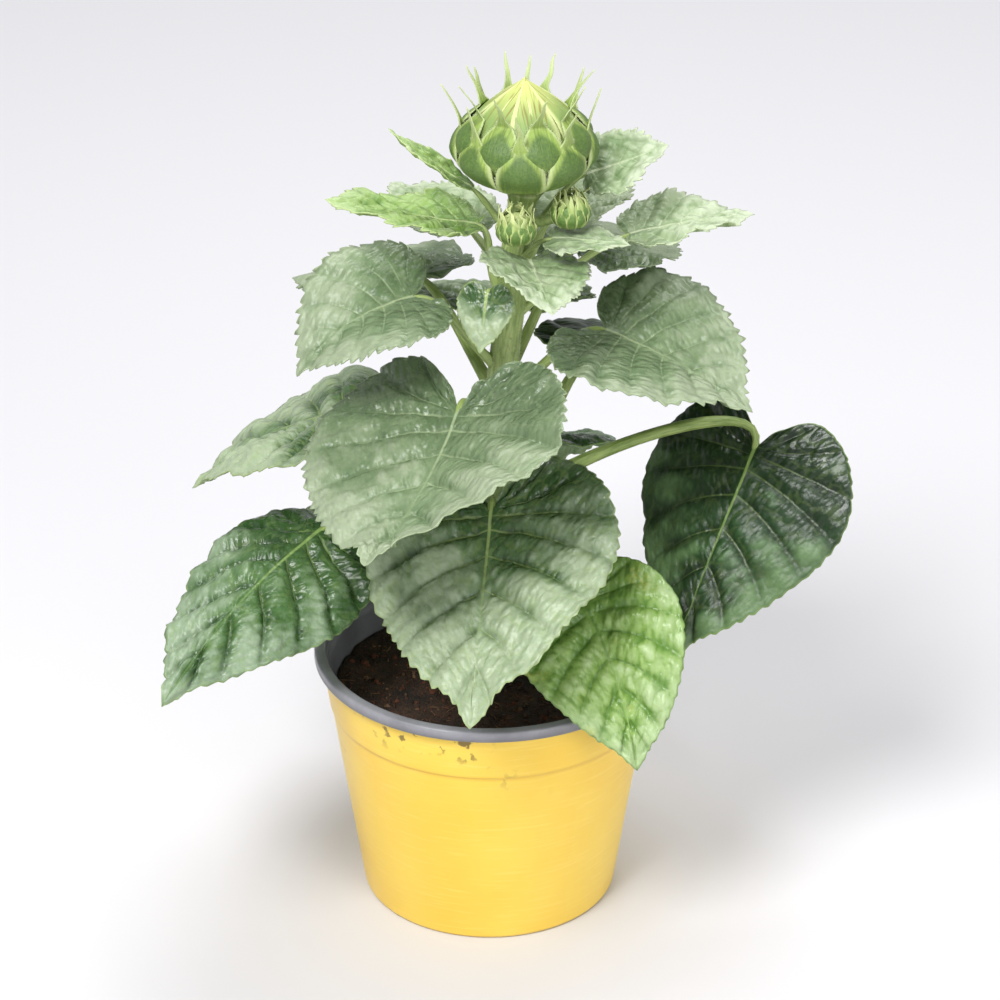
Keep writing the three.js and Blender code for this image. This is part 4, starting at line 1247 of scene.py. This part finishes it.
def build_soil():
    turns = 2 * math.pi * np.arange(SOIL_SIDES) / SOIL_SIDES
    rings = [round_points(radius, turns, soil_height(radius + 0 * turns, turns))
             for radius in np.linspace(0, SOIL_EDGE - GAP, SOIL_RINGS)[1:]]
    rings.append(round_points(lining_inside(SOIL_FOOT) - GAP, turns, SOIL_FOOT + 0 * turns))
    middle = np.array([[0, 0, SOIL_LEVEL - SOIL_DIP], [0, 0, SOIL_FOOT]])
    index = wrapped(2 + np.arange(len(rings) * SOIL_SIDES).reshape(-1, SOIL_SIDES))
    quads = grid_cells(index)[0][:, [0, 3, 2, 1]]
    crown = np.stack([np.full(SOIL_SIDES, 0), index[0, :-1], index[0, 1:]], -1)
    floor = np.stack([np.full(SOIL_SIDES, 1), index[-1, 1:], index[-1, :-1]], -1)
    part = {"points": np.concatenate([middle, *rings]), "faces": [quads, crown, floor]}
    make_piece("soil_body", [part], [soil_paint("soil_mix", *SOIL_DARK)], "soil", "soil")


def scattered(count, rng):
    """Places on the soil, evenly spread, clear of the stem."""
    edge = SOIL_EDGE - 1.5
    radius = np.sqrt(rng.uniform((STEM_FOOT_RADIUS + 3) ** 2, edge ** 2, count))
    turn = rng.uniform(0, 2 * math.pi, count)
    return round_points(radius, turn, soil_height(radius, turn))


def build_crumbs():
    """Loose crumbs of several sizes, half sunk in the soil."""
    rng = np.random.default_rng(31)
    shape = bmesh.new()
    bmesh.ops.create_icosphere(shape, subdivisions=1, radius=1.0)
    shape.verts.index_update()
    ball = np.array([list(vertex.co) for vertex in shape.verts])
    ball_faces = np.array([[vertex.index for vertex in face.verts] for face in shape.faces])
    shape.free()
    sizes = rng.uniform(0.45, 1.0, CRUMB_COUNT)
    sizes = sizes * rng.choice([0.7, 1.0, 1.6], CRUMB_COUNT, p=[0.5, 0.38, 0.12])
    lumps = ball[None] * rng.uniform(0.65, 1.25, (CRUMB_COUNT, len(ball), 1))
    lumps = lumps * rng.uniform(0.6, 1.3, (CRUMB_COUNT, 1, 3))
    places = scattered(CRUMB_COUNT, rng) + UP * 0.15 * sizes[:, None]
    points = (lumps * sizes[:, None, None] + places[:, None]).reshape(-1, 3)
    kinds = np.repeat(rng.choice([0, 1, 2], CRUMB_COUNT, p=[0.42, 0.42, 0.16]), len(ball_faces))
    part = {"points": points, "faces": [copies(ball_faces, len(ball), CRUMB_COUNT)], "slot": kinds}
    paints = [soil_paint("crumb_dark", *SOIL_DARK), soil_paint("crumb_red", *SOIL_RED),
              soil_paint("crumb_tan", *SOIL_TAN)]
    make_piece("soil_crumbs", [part], paints, "soil")


def build_fibres():
    """Short reddish fibres and bits of bark on the soil."""
    rng = np.random.default_rng(37)
    parts = []
    for place in scattered(FIBRE_COUNT, rng):
        way = outward(rng.uniform(0, 360))
        bend = np.cross(way, UP) * rng.uniform(-1, 1)
        length = rng.uniform(2.0, 6.5)
        share = np.linspace(-0.5, 0.5, 6)[:, None]
        path = place + way * share * length + bend * (share ** 2) * length * 0.8
        path = path + UP * (0.25 + rng.uniform(-0.5, 0.7) * share)
        radii = rng.uniform(0.10, 0.24) * np.array([0.4, 0.9, 1, 1, 0.8, 0.3])
        parts.append({**bare(tube_part(path, UP, radii, 5)), "slot": int(rng.integers(2))})
    paints = [soil_paint("fibre_red", *SOIL_RED), soil_paint("fibre_tan", *SOIL_TAN)]
    make_piece("soil_fibres", parts, paints, "soil")


# Camera, light and floor


def aim(thing, place, target):
    """Puts a camera or a light at a place, turned towards its target."""
    thing.location = place
    way = np.array(target) - np.array(thing.location)
    thing.rotation_euler = (math.pi / 2 + math.atan2(way[2], math.hypot(way[0], way[1])), 0.0,
                            -math.atan2(way[0], way[1]))


def build_camera():
    camera = add_object("camera", bpy.data.cameras.new("camera"))
    aim(camera, (0.0, -1.3856, 0.9), (0.004, 0.0, 0.160))
    camera.data.sensor_width = 36
    camera.data.lens = 155
    bpy.context.scene.camera = camera


def area_light(name, place, target, size, power):
    data = bpy.data.lights.new(name, "AREA")
    data.shape = "DISK"
    data.size = size
    data.energy = power
    aim(add_object(name, data), place, target)


def build_studio():
    world = bpy.data.worlds.new("studio")
    bpy.context.scene.world = world
    world.use_nodes = True
    back = world.node_tree.nodes["Background"]
    back.inputs["Color"].default_value = (0.97, 0.98, 1.0, 1.0)
    back.inputs["Strength"].default_value = 0.54
    area_light("key", (-0.55, -1.0, 1.6), (0, 0, 0.18), 0.7, 30)
    area_light("fill", (0.9, -1.5, 0.7), (0, 0, 0.15), 1.0, 10)
    area_light("top", (0.2, 0.6, 1.6), (0, 0, 0.2), 0.9, 13)
    bpy.ops.mesh.primitive_plane_add(size=8)
    floor = bpy.context.object
    floor.name = "floor"
    floor.data.materials.append(Paint("floor_paper").done((0.66, 0.655, 0.675), Roughness=0.85))
    bpy.context.scene.view_settings.view_transform = "Standard"


build_leaves()
build_stem()
build_stem_hairs()
build_buds()
build_pot()
build_lining()
build_soil()
build_crumbs()
build_fibres()
build_camera()
build_studio()
